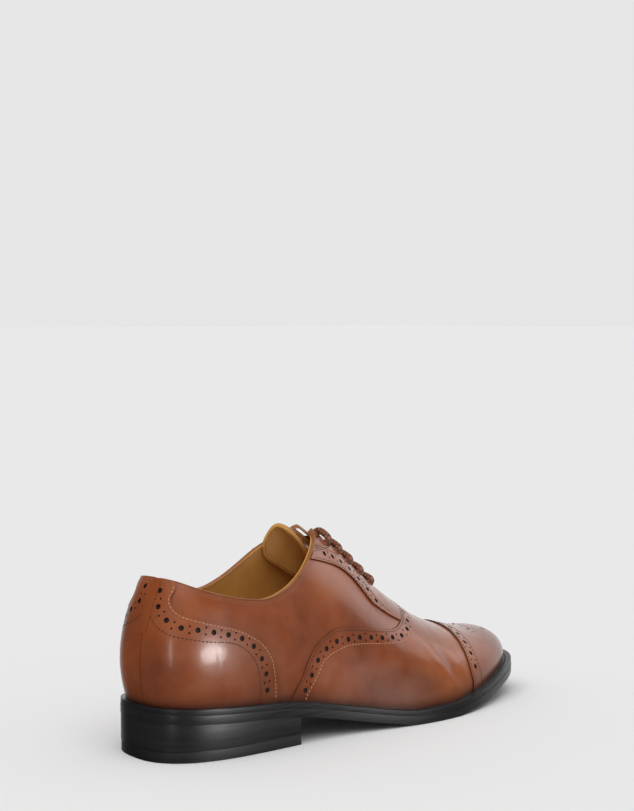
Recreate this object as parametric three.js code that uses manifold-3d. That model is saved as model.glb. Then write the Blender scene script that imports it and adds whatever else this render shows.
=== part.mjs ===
// A men's oxford shoe for the right foot, with brogue overlays, a welted sole and a stacked heel.
// Millimetres. X runs from the heel to the toe, Y towards the wearer's left, Z up from the ground.
import * as THREE from 'three';
import { mergeVertices } from 'three/addons/utils/BufferGeometryUtils.js';
import Module from 'manifold-3d';

const wasm = await Module();
wasm.setup();

// Driving dimensions.
const SOLE_LENGTH = 305.5;
const SOLE_WIDTH = 103;
const HEEL_HEIGHT = 21.5;
const UPPER_HEIGHT = 69;
const BREAST_STATION = 91;
const OUTSOLE_THICK = 4.9;
const WELT_THICK = 3;
const WELT_WIDTH = 13;
const TOP_PIECE_THICK = 6;
const INSOLE_THICK = 2.2;
const SOCK_THICK = 1;
const LEATHER = 1;
const GAP = 0.3;
const UNDERLAP = 8;
const FACING_GAP = 3;
const LACE_RADIUS = 1.3;
const LACE_CLEARANCE = 0.9;
const LACE_ROWS = 5;
const FIRST_ROW_STATION = 180;
const ROW_STEP = 9.2;
const ROW_HALF_SPAN = 9;
const EYELET_FLANGE = 1.3;
const EYELET_THICK = 0.5;
const AGLET_LENGTH = 22;
const TONGUE_DRAW_IN = 0.041;
const TONGUE_TOP_HALF_WIDTH = 24;
const TONGUE_BASE_HALF_WIDTH = 13;
const TONGUE_BASE_STATION = 194;
const TONGUE_TOP_STATION = 113;
const NAIL_RADIUS = 0.9;
const NAIL_BITE = 9;

// What follows from them.
const LACE_HOLE_RADIUS = LACE_RADIUS + LACE_CLEARANCE;
const EYELET_BORE_RADIUS = LACE_HOLE_RADIUS + 0.5;
const EYELET_RADIUS = EYELET_BORE_RADIUS + EYELET_FLANGE;
const NAIL_LENGTH = TOP_PIECE_THICK + NAIL_BITE;

// The pattern lines are drawn for a sample shoe and graded to the driving dimensions.
const SAMPLE = { length: 305.5, width: 103, heel: 21.5, upper: 69 };
const LONG = SOLE_LENGTH / SAMPLE.length;
const WIDE = SOLE_WIDTH / SAMPLE.width;
const TALL = UPPER_HEIGHT / SAMPLE.upper;

const { lerp, clamp, smoothstep } = THREE.MathUtils;

// ---- Curves ----------------------------------------------------------------

// Points of a uniform cubic B-spline through a control polygon of [a, b] pairs.
function splinePoints(control, perSpan, closed) {
  const count = control.length;
  const mirrored = (a, b) => [2 * a[0] - b[0], 2 * a[1] - b[1]];
  const polygon = closed
    ? [control[count - 1], ...control, control[0], control[1]]
    : [mirrored(control[0], control[1]), ...control, mirrored(control[count - 1], control[count - 2])];
  const points = [];
  for (let span = 0; span < polygon.length - 3; span++) {
    for (let step = 0; step < perSpan; step++) {
      const f = step / perSpan;
      const weights = [
        (1 - f) ** 3,
        3 * f ** 3 - 6 * f ** 2 + 4,
        3 * (f + f ** 2 - f ** 3) + 1,
        f ** 3,
      ];
      const blend = (axis) => weights.reduce((sum, w, k) => sum + (w * polygon[span + k][axis]) / 6, 0);
      points.push([blend(0), blend(1)]);
    }
  }
  if (!closed) points.push(control[count - 1]);
  return points;
}

// The value at x of a list of [x, value] points.
function valueAt(points, x) {
  let high = points.length - 1;
  let low = 0;
  while (high - low > 1) {
    const middle = (high + low) >> 1;
    if (points[middle][0] > x) high = middle;
    else low = middle;
  }
  const share = (x - points[low][0]) / (points[high][0] - points[low][0]);
  return lerp(points[low][1], points[high][1], clamp(share, 0, 1));
}

// A smooth value along the shoe, drawn at sample stations.
function alongShoe(control, scale = 1) {
  const points = splinePoints(control.map(([x, v]) => [x * LONG, v * scale]), 24, false);
  return (x) => valueAt(points, x);
}

// ---- The sole's outline and the heights along it ---------------------------

const SOLE_OUTLINE = [
  [2, 0], [1, -18], [12.5, -33.5], [35.5, -41], [66, -42.5], [100, -41], [131.5, -43.5], [164, -50],
  [196, -54], [225.5, -50.5], [254, -41.5], [280, -30], [300, -17], [310, 2], [303.5, 19.5], [288, 31],
  [266, 42], [240, 49.5], [212, 51.5], [184, 46.5], [156, 36], [126, 29.5], [96, 30.5], [66, 34.5],
  [38, 35.5], [15, 29], [5, 15],
].map(([x, y]) => [x * LONG, y * WIDE]);
const outline = splinePoints(SOLE_OUTLINE, 60, true);

// How far the sole stands out from the upper.
const soleMargin = alongShoe([
  [0, 2.5], [20, 2.6], [80, 3], [110, 3], [160, 4], [220, 5], [300, 6], [310, 6],
]);

// The outline moved inwards, as its outer (-Y) and inner (+Y) edges from heel to toe. A place along them
// is an angle from 0 at the heel to PI at the toe, so that both round ends stay evenly divided.
const EDGE_STEPS = 200;
function insetEdges(insetAt) {
  const count = outline.length;
  const moved = outline.map(([x, y], i) => {
    const next = outline[(i + 1) % count];
    const last = outline[(i + count - 1) % count];
    const along = new THREE.Vector2(next[0] - last[0], next[1] - last[1]).normalize();
    const inset = insetAt(x);
    return [x - along.y * inset, y + along.x * inset];
  });
  const xs = moved.map((p) => p[0]);
  const heel = xs.indexOf(Math.min(...xs));
  const toe = xs.indexOf(Math.max(...xs));
  const walk = (step) => {
    const edge = [];
    for (let i = heel; i !== toe; i = (i + step + count) % count) edge.push(moved[i]);
    edge.push(moved[toe]);
    edge.sort((a, b) => a[0] - b[0]);
    const evenly = [];
    for (let i = 0; i <= EDGE_STEPS; i++) evenly.push(valueAt(edge, stationOf((i * Math.PI) / EDGE_STEPS)));
    return (angle) => {
      const place = clamp((angle * EDGE_STEPS) / Math.PI, 0, EDGE_STEPS);
      const low = Math.min(Math.floor(place), EDGE_STEPS - 1);
      return lerp(evenly[low], evenly[low + 1], place - low);
    };
  };
  const [start, length] = [moved[heel][0], moved[toe][0] - moved[heel][0]];
  const stationOf = (angle) => start + (length * (1 - Math.cos(angle))) / 2;
  const angleOf = (x) => Math.acos(clamp(1 - (2 * (x - start)) / length, -1, 1));
  return { outer: walk(1), inner: walk(-1), stationOf, angleOf };
}

const soleBottom = alongShoe([
  [0, 22], [40, 19.5], [84, 17.5], [112, 12], [150, 4], [180, -1], [205, -1], [235, 2.6], [268, 8], [309, 15],
]);
const heelLift = HEEL_HEIGHT - SAMPLE.heel;
const bottomAt = (x) => Math.max(0, soleBottom(x) + heelLift * (1 - smoothstep(x, 90 * LONG, 170 * LONG)));
const weltAt = (x) => bottomAt(x) + OUTSOLE_THICK + GAP;
const featherAt = (x) => weltAt(x) + WELT_THICK + GAP;

// ---- The last: the form that the upper is pulled over ----------------------

const feather = insetEdges(soleMargin);
const { stationOf, angleOf } = feather;
const HEEL_AXIS = 44 * LONG;
const TOE_AXIS = 264 * LONG;
const END_ANGLE = 0.07;
const ridgeHeight = alongShoe([
  [40, 102.7], [80, 108], [104, 112.3], [120, 111], [145, 99], [170, 82.4], [195, 63], [220, 46.3],
  [245, 34], [268, 25.5], [290, 20],
], TALL);
const roundness = alongShoe([
  [0, 2.22], [80, 2.22], [120, 2.2], [170, 2.3], [220, 2.6], [260, 2.66], [303, 2.66],
]);
const hollow = alongShoe([
  [0, 0.24], [60, 0.24], [100, 0.22], [140, 0.36], [180, 0.4], [215, 0.22], [250, 0.06], [303, 0.03],
]);
const bulge = alongShoe([[0, 0.19], [50, 0.15], [110, 0.05], [160, 0.06], [210, 0.03], [303, 0.02]]);
const centreLine = alongShoe([[0, 0], [60, 0], [120, 2], [180, 4], [240, 4], [301, 2]], WIDE);

// Where the rib from a feather station reaches the ridge: ribs fan out round the heel and the toe.
function ridgeStation(x) {
  const behind = (x + HEEL_AXIS + Math.hypot(x - HEEL_AXIS, 18 * LONG)) / 2;
  return (behind + TOE_AXIS - Math.hypot(behind - TOE_AXIS, 10 * LONG)) / 2;
}

// A point of the last. girth runs from 0 at the outer feather line over the ridge at 1 to the inner at 2.
function lastPoint(angle, girth) {
  const x = stationOf(angle);
  const y = (girth <= 1 ? feather.outer : feather.inner)(angle);
  const theta = ((girth <= 1 ? girth : 2 - girth) * Math.PI) / 2;
  const ridgeX = ridgeStation(x);
  const ridgeY = centreLine(ridgeX);
  const foot = featherAt(x);
  const rise = Math.sin(theta) ** (2 / roundness(x));
  const swell = 1 + 4 * bulge(x) * rise * (1 - rise);
  const reach = Math.cos(theta) * (1 - hollow(x) * rise ** 1.5) * swell;
  return new THREE.Vector3(
    lerp(ridgeX, x, reach),
    lerp(ridgeY, y, reach),
    lerp(foot, featherAt(ridgeX) + ridgeHeight(ridgeX), rise),
  );
}

function sideNormal(angle, girth) {
  const step = 0.03;
  const a = clamp(angle, 2 * step, Math.PI - 2 * step);
  const g = clamp(girth, step, 2 - step);
  const lengthwise = lastPoint(a + step, girth).sub(lastPoint(a - step, girth));
  const around = lastPoint(angle, g + step).sub(lastPoint(angle, g - step));
  return lengthwise.cross(around).normalize();
}

// Both halves meet up the back seam and the toe's front, so they share one direction there.
function lastNormal(angle, girth) {
  const normal = sideNormal(angle, girth);
  const onSeam = angle < 1e-6 || angle > Math.PI - 1e-6;
  return onSeam ? normal.add(sideNormal(angle, 2 - girth)).normalize() : normal;
}

const skinPoint = (angle, girth, offset) =>
  lastPoint(angle, girth).addScaledVector(lastNormal(angle, girth), offset);

// The place on the last over a plan position, as [angle, girth], and a point offset from it.
function placeOver(x, fromCentre) {
  const angle = angleOf(x);
  const side = Math.sign(fromCentre) || 1;
  let low = 0;
  let high = 1;
  for (let i = 0; i < 30; i++) {
    const middle = (low + high) / 2;
    const point = lastPoint(angle, 1 + side * middle);
    if (Math.abs(point.y - centreLine(x)) < Math.abs(fromCentre)) low = middle;
    else high = middle;
  }
  return [angle, 1 + side * low];
}
const overPlan = (x, fromCentre, offset) => skinPoint(...placeOver(x, fromCentre), offset);

// ---- Solids ----------------------------------------------------------------

function solidOf(geometry) {
  geometry.deleteAttribute('normal');
  geometry.deleteAttribute('uv');
  const merged = mergeVertices(geometry, 1e-3);
  const corners = merged.index.array;
  const triVerts = [];
  for (let i = 0; i < corners.length; i += 3) {
    const [a, b, c] = corners.subarray(i, i + 3);
    if (a !== b && b !== c && c !== a) triVerts.push(a, b, c);
  }
  return new wasm.Manifold(
    new wasm.Mesh({
      numProp: 3,
      vertProperties: merged.attributes.position.array,
      triVerts: new Uint32Array(triVerts),
    }),
  );
}

function geometryOf(solid) {
  const mesh = solid.getMesh();
  const geometry = new THREE.BufferGeometry();
  geometry.setAttribute('position', new THREE.BufferAttribute(new Float32Array(mesh.vertProperties), 3));
  geometry.setIndex(new THREE.BufferAttribute(new Uint32Array(mesh.triVerts), 1));
  return geometry;
}

// A box of unit cells bent into a shape: place takes a, b and c from 0 to 1. With zipped ends the box
// has no end faces, because each half of an end meets the other half edge to edge.
function bentBox(countA, countB, place, zippedEnds = false) {
  const geometry = new THREE.BoxGeometry(1, 1, 1, countA, countB, 1);
  if (zippedEnds) {
    const [front, back] = geometry.groups;
    geometry.setIndex([...geometry.index.array.slice(front.count + back.count)]);
  }
  const position = geometry.attributes.position;
  for (let i = 0; i < position.count; i++) {
    const point = place(position.getX(i) + 0.5, position.getY(i) + 0.5, position.getZ(i) + 0.5);
    position.setXYZ(i, point.x, point.y, point.z);
  }
  return solidOf(geometry);
}

// A plate with the sole's outline moved inwards, between two stations and two heights.
function plate(insetAt, from, to, lowAt, highAt, steps = 28) {
  const edges = insetEdges(insetAt);
  const first = Math.max(END_ANGLE, edges.angleOf(from));
  const last = Math.min(Math.PI - END_ANGLE, edges.angleOf(to));
  return bentBox(steps, 2, (a, b, c) => {
    const angle = lerp(first, last, a);
    const x = edges.stationOf(angle);
    const y = lerp(edges.outer(angle), edges.inner(angle), b);
    return new THREE.Vector3(x, y, lerp(lowAt(x), highAt(x), c));
  });
}
const WHOLE = [-Infinity, Infinity];

// The ribs are divided more finely near the ridge, where the form curves most.
const RIDGE_CROWDING = 1.25;

// Everything inside the last's surface moved by an offset, with its floor dropped below the feather line.
function lastBody(offset, drop) {
  const place = (a, b, c) => {
    const angle = a * Math.PI;
    const across = 2 * b - 1;
    const girth = 1 + Math.sign(across) * Math.abs(across) ** RIDGE_CROWDING;
    if (c > 0.5) return skinPoint(angle, girth, offset);
    const outer = skinPoint(angle, 0, offset);
    const inner = skinPoint(angle, 2, offset);
    const point = outer.lerp(inner, b);
    point.z -= drop;
    return point;
  };
  return bentBox(22, 14, place, true);
}

// The layers of the upper, counted inwards: 0 cap, 1 overlays, 2 quarters, 3 lining.
const OUTERMOST = 0.8;
const layerOuter = (layer) => OUTERMOST - layer * (LEATHER + GAP);
const LAYERS = [0, 1, 2, 3].map((layer) =>
  lastBody(layerOuter(layer), 0).subtract(lastBody(layerOuter(layer) - LEATHER, 6)),
);
const LINING_INSIDE = layerOuter(3) - LEATHER;

// Under the lining lie the eyelet washers, then the lace's legs, then the tongue.
const EYELET_OFFSET = LINING_INSIDE - 2.5 * GAP - EYELET_THICK;
const RUN_DEPTH = EYELET_OFFSET - 0.2 - LACE_RADIUS;
const TONGUE_DEPTH = 2.75 - RUN_DEPTH + LACE_RADIUS;

// ---- Pattern lines, as [station, height over the feather line] seen from the side 

const graded = ([x, h]) => new THREE.Vector2(x * LONG, featherAt(x * LONG) + h * TALL);
const FAR = 400;

function patternLine(points, shiftX = 0, shiftUp = 0) {
  const line = new THREE.SplineCurve(points.map(graded)).getPoints(points.length * 3);
  return line.map((p) => new THREE.Vector2(p.x + shiftX, p.y + shiftUp));
}

// A side-view area as a block across the shoe, from one Y to another.
function sideBlock(points, lowY = -FAR, highY = FAR) {
  const geometry = new THREE.ExtrudeGeometry(new THREE.Shape(points), {
    depth: highY - lowY,
    bevelEnabled: false,
  });
  geometry.rotateX(Math.PI / 2);
  geometry.translate(0, highY, 0);
  return solidOf(geometry);
}

// The part of the side view behind a line that is drawn upwards, or ahead of it.
function behindLine(line) {
  const [first, last] = [line[0], line[line.length - 1]];
  const corners = [new THREE.Vector2(-FAR, last.y), new THREE.Vector2(-FAR, first.y)];
  return sideBlock([...line, ...corners]);
}
function aheadOfLine(line) {
  const [first, last] = [line[0], line[line.length - 1]];
  const corners = [new THREE.Vector2(FAR, last.y), new THREE.Vector2(FAR, first.y)];
  return sideBlock([...line, ...corners]);
}

const CAP_LINE = [[234, -30], [234, 2], [232, 12], [233.5, 23], [237, 31], [240, 37], [240, 60]];
const WING_LINE = [
  [82, -30], [87, 0], [94, 13], [99, 23], [106, 32], [115, 39], [124, 43.5], [138, 45.5], [154, 46],
  [172, 46.5], [185, 50], [193, 55], [197, 62], [197, 130],
];
const FOXING_LINE = [
  [75, -30], [75, 2], [74, 14], [71.5, 25], [65, 34], [55, 40], [44, 44], [29, 47.5], [17, 51],
  [13.5, 55], [14, 60], [18, 68], [19, 90],
];
const OUTER_TOPLINE = [
  [-30, 69], [2, 69.5], [12, 70], [19, 68.5], [28, 65], [45, 60.5], [63, 58], [76, 58.5], [91, 64],
  [104, 72.5], [115, 82], [125, 91], [133, 99.5], [142, 120],
];
const INNER_TOPLINE = [
  [-30, 69], [2, 69.5], [12, 70], [19, 68.5], [28, 65], [42, 60.5], [56, 57.5], [70, 58], [82, 64],
  [93, 73], [102, 81.5], [112, 89.5], [126, 99], [142, 120],
];
const FACING_LINE = [
  [180, 20], [176, 40], [169, 53], [160, 66], [153, 75], [142, 80.5], [125, 82.5], [100, 83],
];
const LINING_SEAM = [[146, -30], [146, 16], [156, 36], [176, 46], [190, 53], [195, 62], [195, 130]];

// Everything below a topline on one side of the shoe, moved down by a drop.
function underTopline(points, side, drop = 0, gap = 0) {
  const line = patternLine(points, 0, -drop);
  const end = line[line.length - 1];
  const corners = [
    new THREE.Vector2(end.x, FAR),
    new THREE.Vector2(FAR, FAR),
    new THREE.Vector2(FAR, -FAR),
    new THREE.Vector2(-FAR, -FAR),
    new THREE.Vector2(-FAR, line[0].y),
  ];
  return sideBlock([...line, ...corners]).intersect(sideHalf(side, gap));
}

// The line that parts the outer half from the inner one: up the back seam, then along the ridge.
const backSeam = feather.outer(0);
const MIDDLE_STATIONS = [80, 120, 160, 200, 240, 280].map((x) => x * LONG);

function sideHalf(side, gap = 0) {
  const middle = [
    [-FAR, backSeam],
    [stationOf(0), backSeam],
    [ridgeStation(stationOf(0)), centreLine(0)],
    ...MIDDLE_STATIONS.map((x) => [x, centreLine(x)]),
    [FAR, centreLine(FAR)],
  ].map(([x, y]) => [x, y + (side * gap) / 2]);
  const corners = [[FAR, side * FAR], [-FAR, side * FAR]];
  const around = side > 0 ? [...middle, ...corners] : [...middle, ...corners].reverse();
  return planBlock(around);
}

// A block over a plan-view area.
function planBlock(points) {
  const shape = new THREE.Shape(points.map(([x, y]) => new THREE.Vector2(x, y)));
  const geometry = new THREE.ExtrudeGeometry(shape, { depth: FAR, bevelEnabled: false });
  return solidOf(geometry);
}

// The slot between the two facings, along the centre line.
function facingSlot(halfWidth, end) {
  const stations = [60, 100, 130, 150, 170, 185].map((x) => x * LONG).filter((x) => x < end - halfWidth);
  const outer = stations.map((x) => [x, centreLine(x) - halfWidth]);
  const inner = stations.map((x) => [x, centreLine(x) + halfWidth]).reverse();
  const tip = [-1, -0.5, 0, 0.5, 1].map((turn) => [
    end - halfWidth + halfWidth * Math.cos((turn * Math.PI) / 2),
    centreLine(end) + halfWidth * Math.sin((turn * Math.PI) / 2),
  ]);
  return planBlock([...outer, ...tip, ...inner]);
}

const toplineOf = (side) => (side < 0 ? OUTER_TOPLINE : INNER_TOPLINE);
const wholeTopline = (drop = 0) =>
  underTopline(OUTER_TOPLINE, -1, drop).add(underTopline(INNER_TOPLINE, 1, drop));

// ---- Lace holes ------------------------------------------------------------

const rowStation = (row) => (FIRST_ROW_STATION - row * ROW_STEP) * LONG;
const rowSpot = (row, side, offset) => overPlan(rowStation(row), side * ROW_HALF_SPAN, offset);
const rowNormal = (row, side) => lastNormal(...placeOver(rowStation(row), side * ROW_HALF_SPAN));

// Turns a geometry built along +Z so that +Z points along a direction, and sets it at a point.
function aimAt(geometry, point, direction) {
  const turn = new THREE.Quaternion().setFromUnitVectors(new THREE.Vector3(0, 0, 1), direction);
  return geometry.applyQuaternion(turn).translate(point.x, point.y, point.z);
}

function laceHole(row, side) {
  const depth = 12;
  const geometry = new THREE.CylinderGeometry(LACE_HOLE_RADIUS, LACE_HOLE_RADIUS, depth, 8);
  geometry.rotateX(Math.PI / 2);
  return solidOf(aimAt(geometry, rowSpot(row, side, -depth / 3), rowNormal(row, side)));
}

function withLaceHoles(solid, side) {
  let cut = solid;
  for (let row = 0; row < LACE_ROWS; row++) cut = cut.subtract(laceHole(row, side));
  return cut;
}

function eyeletWasher(row, side) {
  const profile = [
    [EYELET_BORE_RADIUS, 0],
    [EYELET_RADIUS, 0],
    [EYELET_RADIUS, EYELET_THICK],
    [EYELET_BORE_RADIUS, EYELET_THICK],
    [EYELET_BORE_RADIUS, 0],
  ].map(([r, z]) => new THREE.Vector2(r, z));
  const geometry = new THREE.LatheGeometry(profile, 10);
  geometry.rotateX(Math.PI / 2);
  return solidOf(aimAt(geometry, rowSpot(row, side, EYELET_OFFSET), rowNormal(row, side)));
}

// ---- Upper -----------------------------------------------------------------

const SLOT_END = 191 * LONG;
const slot = facingSlot(FACING_GAP, SLOT_END);

const toeCap = () => LAYERS[0].intersect(aheadOfLine(patternLine(CAP_LINE)));

function vamp() {
  return LAYERS[1]
    .intersect(aheadOfLine(patternLine(WING_LINE)))
    .intersect(behindLine(patternLine(CAP_LINE, UNDERLAP)));
}

function facing(side) {
  const piece = LAYERS[1]
    .intersect(aheadOfLine(patternLine(FACING_LINE)))
    .intersect(behindLine(patternLine(WING_LINE, -GAP, GAP)))
    .intersect(underTopline(toplineOf(side), side, 0, GAP))
    .subtract(slot);
  return withLaceHoles(piece, side);
}

function quarter(side) {
  const piece = LAYERS[2]
    .intersect(aheadOfLine(patternLine(FOXING_LINE, -UNDERLAP, -UNDERLAP)))
    .intersect(behindLine(patternLine(WING_LINE, UNDERLAP, -UNDERLAP)))
    .intersect(underTopline(toplineOf(side), side, 0, GAP))
    .subtract(slot);
  return withLaceHoles(piece, side);
}

function heelFoxing(side) {
  return LAYERS[1]
    .intersect(behindLine(patternLine(FOXING_LINE)))
    .intersect(underTopline(toplineOf(side), side, 0, GAP));
}

function backstay() {
  const halfWidth = 8;
  const low = featherAt(0) + 42 * TALL;
  const block = sideBlock(
    [[-30, low], [25, low], [25, FAR], [-30, FAR]].map(([x, z]) => new THREE.Vector2(x, z)),
    backSeam - halfWidth,
    backSeam + halfWidth,
  );
  return LAYERS[0].intersect(block).intersect(wholeTopline());
}

// The stiffener ends below the foxing's neck.
const STIFFENER_DROP = 20;
const PUFF_UNDERLAP = 4;

function heelStiffener() {
  return LAYERS[2]
    .intersect(behindLine(patternLine(FOXING_LINE, -UNDERLAP - GAP, -UNDERLAP - GAP)))
    .intersect(wholeTopline(STIFFENER_DROP));
}

const toePuff = () => LAYERS[2].intersect(aheadOfLine(patternLine(CAP_LINE, -PUFF_UNDERLAP)));

function vampBacker() {
  return LAYERS[2]
    .intersect(aheadOfLine(patternLine(WING_LINE, UNDERLAP + 2 * GAP, -UNDERLAP - GAP)))
    .intersect(behindLine(patternLine(CAP_LINE, -PUFF_UNDERLAP - GAP)));
}

const GRIP_LINE = [[40, -30], [40, 20], [36, 50], [34, 110]];

function quarterLining(side) {
  const piece = LAYERS[3]
    .intersect(aheadOfLine(patternLine(GRIP_LINE)))
    .intersect(behindLine(patternLine(LINING_SEAM)))
    .intersect(underTopline(toplineOf(side), side, 0, GAP))
    .subtract(slot);
  return withLaceHoles(piece, side);
}

function heelGrip() {
  return LAYERS[3].intersect(behindLine(patternLine(GRIP_LINE, -GAP))).intersect(wholeTopline());
}

const vampLining = () => LAYERS[3].intersect(aheadOfLine(patternLine(LINING_SEAM, GAP, -GAP)));

// ---- Tongue ----------------------------------------------------------------

// A sheet that runs up under the facings: the instep's own curve, sunk and drawn in towards the middle.
function tongueSheet(depth, thickness, trim) {
  const centreAt = (x) => overPlan(x, 0.01, 0);
  return bentBox(12, 8, (a, b, c) => {
    const x = lerp(TONGUE_TOP_STATION * LONG + trim, TONGUE_BASE_STATION * LONG, a);
    const along = centreAt(x + 1).sub(centreAt(x - 1)).setY(0).normalize();
    const out = new THREE.Vector3(-along.z, 0, along.x);
    const rounding = Math.sqrt(1 - (1 - clamp(a / 0.22, 0, 1)) ** 2 * 0.75);
    const halfWidth = lerp(TONGUE_TOP_HALF_WIDTH, TONGUE_BASE_HALF_WIDTH, a) * rounding - trim;
    const sunk = depth + thickness * (1 - c);
    const point = overPlan(x, (2 * b - 1) * halfWidth + 0.01, 0);
    point.y = lerp(centreLine(x), point.y, 1 - sunk * TONGUE_DRAW_IN);
    return point.addScaledVector(out, -sunk);
  });
}

// ---- Lace ------------------------------------------------------------------

const LACE_SIDES = 6;

function laceRun(points, steps) {
  const path = new THREE.CatmullRomCurve3(points, false, 'centripetal');
  const section = new THREE.Shape();
  for (let i = 0; i < LACE_SIDES; i++) {
    const turn = (i * 2 * Math.PI) / LACE_SIDES;
    const [x, y] = [LACE_RADIUS * Math.cos(turn), LACE_RADIUS * Math.sin(turn)];
    if (i) section.lineTo(x, y);
    else section.moveTo(x, y);
  }
  return solidOf(new THREE.ExtrudeGeometry(section, { steps, extrudePath: path, bevelEnabled: false }));
}

// A bar across one row, up through one hole and down through the other.
const BAR_SEAT = layerOuter(1) + LACE_RADIUS;
const BAR_STEPS = 13;

function laceBar(row) {
  const x = rowStation(row);
  const side = (s) => [
    rowSpot(row, s, RUN_DEPTH),
    rowSpot(row, s, RUN_DEPTH + 1.85),
    rowSpot(row, s, BAR_SEAT - 2.8),
    rowSpot(row, s, BAR_SEAT - 0.5),
    overPlan(x, s * (ROW_HALF_SPAN - 0.8), BAR_SEAT + 0.9),
    overPlan(x, s * (ROW_HALF_SPAN - 3), BAR_SEAT + 1.5),
  ];
  const middle = overPlan(x, 0.01, BAR_SEAT + 1.4);
  return laceRun([...side(-1), middle, ...side(1).reverse()], BAR_STEPS);
}

// The stretch under the lining from one row to a higher row on the same side.
function laceLeg(fromRow, toRow, side, fromCentre) {
  const between = (share) =>
    overPlan(lerp(rowStation(fromRow), rowStation(toRow), share), side * fromCentre, RUN_DEPTH);
  const points = [
    rowSpot(fromRow, side, RUN_DEPTH),
    between(0.3),
    between(0.7),
    rowSpot(toRow, side, RUN_DEPTH),
  ];
  return laceRun(points, 3 * (toRow - fromRow));
}

// The route of a tucked tail down the inside wall to the toe and back: how far ahead of its hole, how far
// up the wall as a share of the girth, and how far the lace stands off the lining.
const TAIL_ROUTE = [
  [2, 0.76, 1.45], [5, 0.62, 1.2], [12, 0.46, 1.1], [26, 0.33, 1.1], [46, 0.28, 1.3], [66, 0.28, 1.7],
  [80, 0.3, 3.7], [86, 0.24, 7.7], [80, 0.17, 6.7], [60, 0.15, 5.2], [38, 0.15, 4.7], [22, 0.15, 4.7],
];
const TAIL_STEPS = 22;

function tailPoints(row, side) {
  const start = rowStation(row);
  const wall = TAIL_ROUTE.map(([ahead, share, stand]) => {
    const offset = LINING_INSIDE - LACE_RADIUS - stand;
    return skinPoint(angleOf(start + ahead * LONG), 1 + side * (1 - share), offset);
  });
  return [rowSpot(row, side, RUN_DEPTH), ...wall];
}

// The rows where the tails leave, and the legs as [lower row, higher row, side, spread from the holes].
const TAILS = { outer: [3, -1], inner: [4, 1] };
const LEGS = [[0, 1, -1, 0], [2, 4, -1, -1.6], [0, 2, 1, -1.6], [1, 3, 1, 2.6]];

function lace() {
  const bars = Array.from({ length: LACE_ROWS }, (_, row) => laceBar(row));
  const legs = LEGS.map(([from, to, side, spread]) => laceLeg(from, to, side, ROW_HALF_SPAN + spread));
  const tails = Object.values(TAILS).map(([row, side]) => laceRun(tailPoints(row, side), TAIL_STEPS));
  return [...bars, ...legs, ...tails].reduce((whole, run) => whole.add(run));
}

function aglet([row, side]) {
  const points = tailPoints(row, side);
  const end = points[points.length - 1];
  const direction = end.clone().sub(points[points.length - 2]).normalize();
  const geometry = new THREE.CylinderGeometry(LACE_RADIUS, LACE_RADIUS * 0.85, AGLET_LENGTH, 10);
  geometry.rotateX(-Math.PI / 2);
  const centre = end.clone().addScaledVector(direction, AGLET_LENGTH / 2 + GAP);
  return solidOf(aimAt(geometry, centre, direction));
}

// ---- Sole and heel ---------------------------------------------------------

const constant = (value) => () => value;
const insideWelt = (x) => soleMargin(x) + WELT_WIDTH;
const insideUpper = (x) => soleMargin(x) - LINING_INSIDE + 2 * GAP;

const outsole = () => plate(constant(0), ...WHOLE, bottomAt, (x) => bottomAt(x) + OUTSOLE_THICK, 40);

function welt() {
  const ring = plate(constant(0.5), ...WHOLE, weltAt, (x) => weltAt(x) + WELT_THICK, 40);
  return ring.subtract(plate(insideWelt, ...WHOLE, (x) => weltAt(x) - 4, (x) => weltAt(x) + 9));
}

const insideRing = (x) => insideWelt(x) + 2 * GAP;
const fillerTop = (x) => weltAt(x) + WELT_THICK;
const FILLER_STATION = 150 * LONG;
const SEAT_STATION = 58 * LONG;
const corkFiller = () => plate(insideRing, FILLER_STATION, Infinity, weltAt, fillerTop, 24);
const heelSeat = () => plate(insideRing, -Infinity, SEAT_STATION, weltAt, fillerTop, 14);

function shank() {
  const halfWidth = 7;
  const thickness = 1.5;
  return bentBox(16, 1, (a, b, c) => {
    const x = lerp(SEAT_STATION + 2, FILLER_STATION - 2, a);
    const z = weltAt(x) + 0.6 + thickness * c;
    return new THREE.Vector3(x, lerp(-halfWidth, halfWidth, b) - 3, z);
  });
}

const insole = () => plate(insideUpper, ...WHOLE, featherAt, (x) => featherAt(x) + INSOLE_THICK);

function sock() {
  const low = (x) => featherAt(x) + INSOLE_THICK + GAP;
  return plate((x) => insideUpper(x) + 0.4, ...WHOLE, low, (x) => low(x) + SOCK_THICK);
}

const breast = BREAST_STATION * LONG;
const NAIL_SPOTS = [[20, -24], [20, 20], [44, -30], [46, 26], [12, -3]];
const nailPlace = ([x, y]) => new THREE.Vector3(x * LONG, y * WIDE, 0);

function nailSolid(spot, clearance) {
  const radius = NAIL_RADIUS + clearance;
  const head = NAIL_RADIUS * 2 + clearance;
  const profile = [
    [0, -clearance],
    [head, -clearance],
    [head, 1 + clearance],
    [radius, 1 + clearance],
    [radius, NAIL_LENGTH + clearance],
    [0, NAIL_LENGTH + clearance],
  ];
  const geometry = new THREE.LatheGeometry(profile.map(([r, z]) => new THREE.Vector2(r, z)), 8);
  geometry.rotateX(Math.PI / 2);
  const place = nailPlace(spot);
  return solidOf(geometry.translate(place.x, place.y, 0.3));
}

function withNailHoles(solid) {
  return NAIL_SPOTS.reduce((cut, spot) => cut.subtract(nailSolid(spot, 0.3)), solid);
}

function topPiece() {
  return withNailHoles(plate(constant(0.6), -Infinity, breast, constant(0), constant(TOP_PIECE_THICK), 20));
}

function heelStack() {
  const low = constant(TOP_PIECE_THICK + GAP);
  return withNailHoles(plate(constant(0.4), -Infinity, breast, low, (x) => bottomAt(x) - GAP, 20));
}

// ---- The assembly ----------------------------------------------------------

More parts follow.
